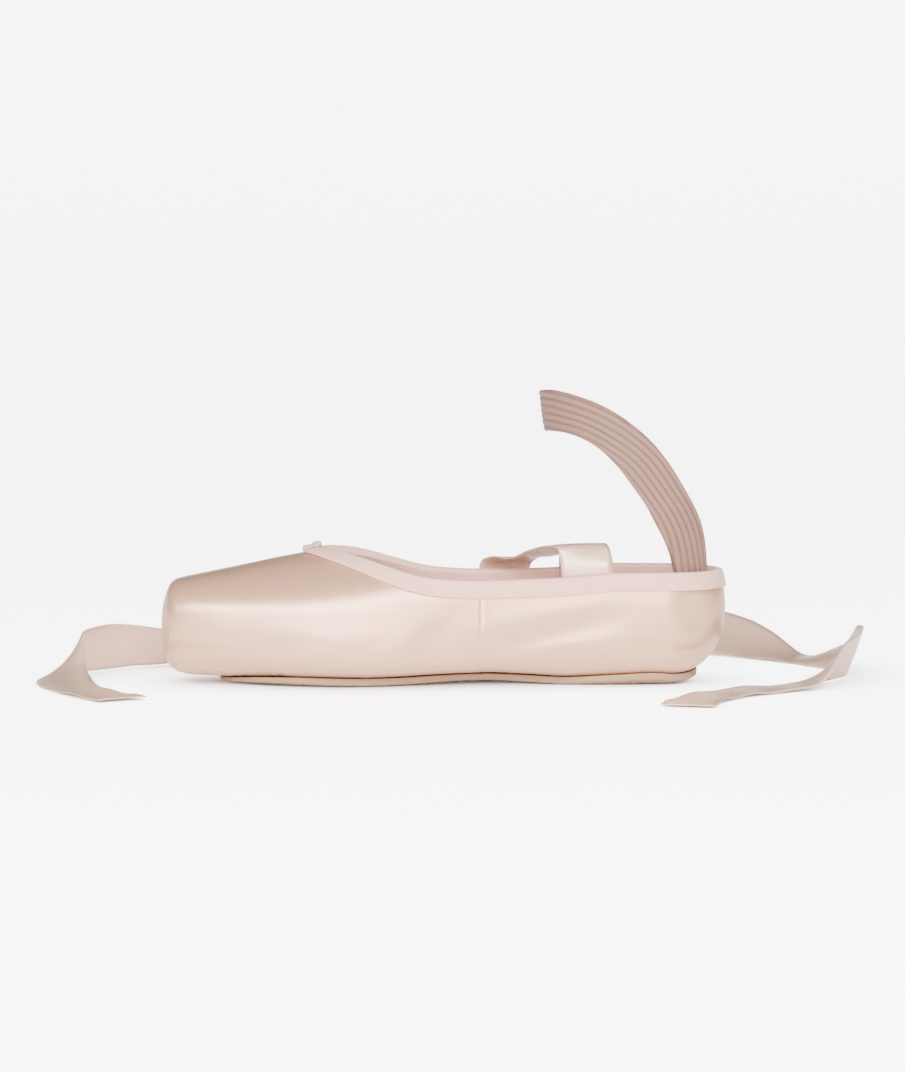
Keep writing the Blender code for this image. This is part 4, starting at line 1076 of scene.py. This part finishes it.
# The form under it: share of the height, form, then shares of its middle, depth and width.
ANKLE = (
    (0.26, "heel", 1.0, 0.905, 0.905), (0.40, "heel", 1.0, 0.905, 0.905),
    (0.56, "ankle", 0.133, 0.79, 0.93), (0.73, "ankle", 0.163, 0.91, 0.98),
    (0.86, "ankle", 0.180, 0.985, 1.0), (1.02, "ankle", 0.190, 1.0, 1.0),
)
# Its two edges: degrees round that form from the back and share of the height, for each.
STRAP = (
    (20, 0.27, 66, 0.285), (27, 0.385, 76, 0.395), (36, 0.52, 85, 0.52),
    (48, 0.645, 92, 0.63), (65, 0.79, 103, 0.75), (89, 0.90, 117, 0.825),
    (116, 0.965, 137, 0.86), (150, 0.998, 158, 0.865), (180, 1.0, 180, 0.86),
)
STRAP_STATIONS, RIBS, POINTS_PER_RIB = 120, 7, 8
GROUND_SHARE, RIB_ROUNDNESS, SELVEDGE_SHARE = 0.42, 0.7, 0.3
KNIT_PITCH, KNIT_BUMP, KNIT_RELIEF = 0.00045, 0.4, 0.00008
# The elastic's colour on the ribs' crests, then a darker copy painted as shade between the ribs.
ELASTIC_RIB_LIT, ELASTIC_GROUND_PAINTED_SHADE = (0.24, 0.13, 0.092), (0.09, 0.048, 0.033)


def ankle_sizes():
    """Rows of the form under the elastic: its middle, half depth and half width."""
    lining = QUARTER_WALL + FOLD_GAP + BINDING_THICKNESS + CLEARANCE + STRAP_THICKNESS
    forms = {
        "heel": (HEEL_REACH, HEEL_REACH - lining, HEEL_WIDTH / 2 - lining),
        "ankle": (LENGTH, ANKLE_DEPTH / 2, ANKLE_WIDTH / 2),
    }
    return [np.array(forms[of]) * shares for _, of, *shares in ANKLE]


def ankle_point(turn, height, off):
    """A point on the form that shaped the elastic, at a distance off its skin."""
    middle, depth, width = smooth(height, [row[0] for row in ANKLE], ankle_sizes())
    turn = math.radians(turn)
    back, side = (depth + off) * math.cos(turn), (width + off) * math.sin(turn)
    return np.array([middle - back, side, STRAP_HEIGHT * height])


def rib_swell(share):
    """How far the elastic stands up here, from 0 between its ribs to 1 on one."""
    return abs(math.sin(math.pi * RIBS * share)) ** RIB_ROUNDNESS


def elastic_mesh():
    rows = []
    shares = np.linspace(0, 1, RIBS * POINTS_PER_RIB + 1)
    for at in np.linspace(0, len(STRAP) - 1, STRAP_STATIONS):
        rear_turn, rear_height, front_turn, front_height = smooth(at, np.arange(len(STRAP)), STRAP)
        outer, inner = [], []
        for share in shares:
            turn = rear_turn + (front_turn - rear_turn) * share
            height = rear_height + (front_height - rear_height) * share
            thick = GROUND_SHARE + (1 - GROUND_SHARE) * rib_swell(share)
            half = STRAP_THICKNESS / 2 * thick
            if share in (0.0, 1.0):
                half *= SELVEDGE_SHARE
            outer.append(ankle_point(turn, height, STRAP_THICKNESS / 2 + half))
            inner.append(ankle_point(turn, height, STRAP_THICKNESS / 2 - half))
        rows.append(np.array(outer + inner[::-1] + outer[:1]))
    rows[-1][:, 1] = 0.0
    mesh = cloth_grid([placed(row) for row in rows])
    bmesh.ops.remove_doubles(mesh, verts=mesh.verts, dist=WELD)
    ends = [e for e in mesh.edges if e.is_boundary and all(v.co.y > ON_CENTRE for v in e.verts)]
    bmesh.ops.holes_fill(mesh, edges=ends, sides=0)
    return mirrored(mesh)


def elastic_finish():
    """Painted shade: the ground between the ribs darker than the ribs' crests, with fine knitted courses
    across.
    """
    material, tree, shader = new_material("ribbed_elastic", {
        "Roughness": 0.62, "Sheen Weight": 0.12, "Specular IOR Level": 0.35,
    })
    course = calc(tree, "MULTIPLY", axes_of(tree, "UV")["Y"], math.pi / KNIT_PITCH)
    yarn = noise(tree, add_node(tree, "TexCoord").outputs["UV"], 1500.0, 2.0)
    height = calc(tree, "ADD", calc(tree, "SINE", course), yarn)
    rib = add_node(tree, "Attribute", attribute_name="rib").outputs["Fac"]
    mottled = mapped(tree, yarn, 0.0, 1.0, -0.12, 0.12)
    share = calc(tree, "ADD", rib, mottled, clamp=True)
    # Painted shade: colour runs from the dark copy between the ribs to the light one on their crests.
    surface(tree, shader, blend(tree, share, ELASTIC_GROUND_PAINTED_SHADE, ELASTIC_RIB_LIT), height, KNIT_BUMP, KNIT_RELIEF)
    return material


def mark_ribs(piece):
    """Writes how far each point stands up on a rib, for the finish to paint shade between the ribs by."""
    layer = piece.data.uv_layers[0].data
    values = np.zeros(len(piece.data.vertices))
    longest = max(loop.uv[0] for loop in layer)
    for loop, spot in zip(piece.data.loops, layer):
        share = spot.uv[0] / longest * 2
        values[loop.vertex_index] = rib_swell(share if share <= 1 else 2 - share)
    piece.data.attributes.new("rib", "FLOAT", "POINT").data.foreach_set("value", values)


elastic = new_piece("ankle_elastic", elastic_mesh(), [elastic_finish()], ["elastic_strap"])
mark_ribs(elastic)

# Outsole: one piece of buffed tan leather, stitched and glued under the turned-in upper.
# Its edge is sanded round and it is skived thin at the toe, where the pleats run under it.
SOLE_SETTLING, SOLE_EDGE_ROUND, SOLE_STATIONS = 0.0006, 0.0005, 110
LEATHER_COLOUR, LEATHER_SHADE = (0.36, 0.225, 0.135), (0.27, 0.16, 0.09)
LEATHER_SCUFFED, LEATHER_SOIL = (0.46, 0.32, 0.215), (0.12, 0.09, 0.07)
LEATHER_BUMP, LEATHER_RELIEF, PLATE_ACROSS = 0.5, 0.0001, 25


def keel_height(place, side):
    """Height of the last's underside over a point of the floor."""
    track, reach = track_over(place, abs(side))
    _, wide, _, keel, feather, _, _ = section_at(track)
    drop = (1 - min(reach, 1.0) ** feather) ** (1 / feather)
    return wide - (wide - keel) * drop


def keel_offset(place, side, depth):
    """Height of a surface that lies a depth inside the last's underside, square to it."""
    step = LENGTH / 480
    across = (keel_height(place, side + step) - keel_height(place, side - step)) / (2 * step)
    along = (keel_height(place + step, side) - keel_height(place - step, side)) / (2 * step)
    return keel_height(place, side) + depth * math.sqrt(1 + across**2 + along**2)


def plate_mesh(start, end, stations, half_at, top_at, under_at, edge_round):
    """A thin plate: each ring runs across the underside and back over the top."""
    across = np.sin(np.linspace(-math.pi / 2, math.pi / 2, PLATE_ACROSS))
    places = start + (end - start) * (1 - np.cos(np.linspace(0, math.pi, stations))) / 2
    rows = []
    for place in places:
        half = half_at(place)
        under, top = [], []
        for share in across:
            inset = edge_round * max(1 - half * (1 - abs(share)) / edge_round, 0.0) ** 2
            side = half * share
            low, high = under_at(place, side), top_at(place, side)
            ease = min(inset, (high - low) * 0.4)
            under.append((place, side, low + ease))
            top.append((place, side, high - ease))
        rows.append(placed(np.array(under + top[::-1] + under[:1])))
    mesh = cloth_grid(rows)
    bmesh.ops.remove_doubles(mesh, verts=mesh.verts, dist=WELD)
    bmesh.ops.holes_fill(mesh, edges=[e for e in mesh.edges if e.is_boundary], sides=0)
    bmesh.ops.recalc_face_normals(mesh, faces=mesh.faces)
    return mesh


def outsole_under(place, side):
    thickness = outsole_sizes(place)[1]
    under = keel_offset(place, side, -SEAT_GAP) - thickness
    base = section_at(max(place, HEEL_REACH))[3] - SEAT_GAP - thickness
    return base + max(under - base - SOLE_SETTLING, 0.0)


def buffed_leather():
    """Tan leather: fine grain, a buffed nap, scuffs along the wear and dirt underneath."""
    material, tree, shader = new_material("sole_leather", {"Specular IOR Level": 0.35})
    where = add_node(tree, "TexCoord").outputs["Object"]
    stretched = add_node(tree, "Mapping", {"Vector": where, "Scale": (0.25, 1.0, 1.0)}).outputs[0]
    nap = noise(tree, where, 900.0, 4.0)
    grain = add_node(tree, "TexVoronoi", {"Vector": where, "Scale": 700.0}).outputs["Distance"]
    scuffs = noise(tree, stretched, 520.0, 6.0, 0.75)
    marks = mapped(tree, scuffs, 0.54, 0.78, 0.0, 0.55)
    dirt = place_group(tree, SOILING, High=0.004, Low=-0.002, Patch_Size=0.05, Strength=0.6)
    tone = blend(tree, nap, LEATHER_SHADE, LEATHER_COLOUR)
    scuffed = blend(tree, marks, tone, LEATHER_SCUFFED)
    soiled = blend(tree, dirt["Mask"], scuffed, LEATHER_SOIL)
    surface(tree, shader, soiled, calc(tree, "ADD", nap, grain), LEATHER_BUMP, LEATHER_RELIEF)
    tree.links.new(mapped(tree, marks, 0.0, 1.0, 0.68, 0.5), shader.inputs["Roughness"])
    return material


sole_mesh = plate_mesh(
    SOLE_HEEL_INSET, SOLE_TIP, SOLE_STATIONS, lambda place: outsole_sizes(place)[0],
    lambda place, side: keel_offset(place, side, -SEAT_GAP), outsole_under, SOLE_EDGE_ROUND,
)
new_piece("leather_outsole", sole_mesh, [buffed_leather()], ["outsole"])

# Insole: a thin cotton sock lining glued over the turned-in margins, with soft edges.
# It follows the underside of the last, and wear has greyed it in patches.
INSOLE_THICKNESS, INSOLE_HEEL_INSET, INSOLE_TOE_INSET = 0.0015, 0.010, 0.016
INSOLE = (
    (0.0, 0.14), (0.012, 0.34), (0.04, 0.52), (0.09, 0.62), (0.2, 0.66), (0.5, 0.68),
    (0.8, 0.68), (0.92, 0.60), (0.97, 0.46), (0.99, 0.30), (1.0, 0.12),
)
SOCK_COLOUR, SOCK_SHADE, SOCK_SOIL = (0.92, 0.83, 0.71), (0.83, 0.73, 0.61), (0.52, 0.43, 0.35)
SOCK_EDGE_ROUND, SOCK_STATIONS = 0.0006, 90


def insole_half(place):
    share = (place - INSOLE_HEEL_INSET) / (LENGTH - INSOLE_TOE_INSET - INSOLE_HEEL_INSET)
    width = smooth(share, [row[0] for row in INSOLE], [row[1:] for row in INSOLE])[0]
    return section_at(max(place, HEEL_REACH))[0] * width


sock = woven(
    "sock_lining", SOCK_COLOUR, SOCK_SHADE, SOCK_SOIL,
    thread=0.0006, strength=0.3, bump=0.4, roughness=0.85, soil_high=0.03,
)
insole_mesh = plate_mesh(
    INSOLE_HEEL_INSET, LENGTH - INSOLE_TOE_INSET, SOCK_STATIONS, insole_half,
    lambda place, side: keel_offset(place, side, wall_at(place) + SEAT_GAP + INSOLE_THICKNESS),
    lambda place, side: keel_offset(place, side, wall_at(place) + SEAT_GAP), SOCK_EDGE_ROUND,
)
new_piece("sock_insole", insole_mesh, [sock], ["insole"])
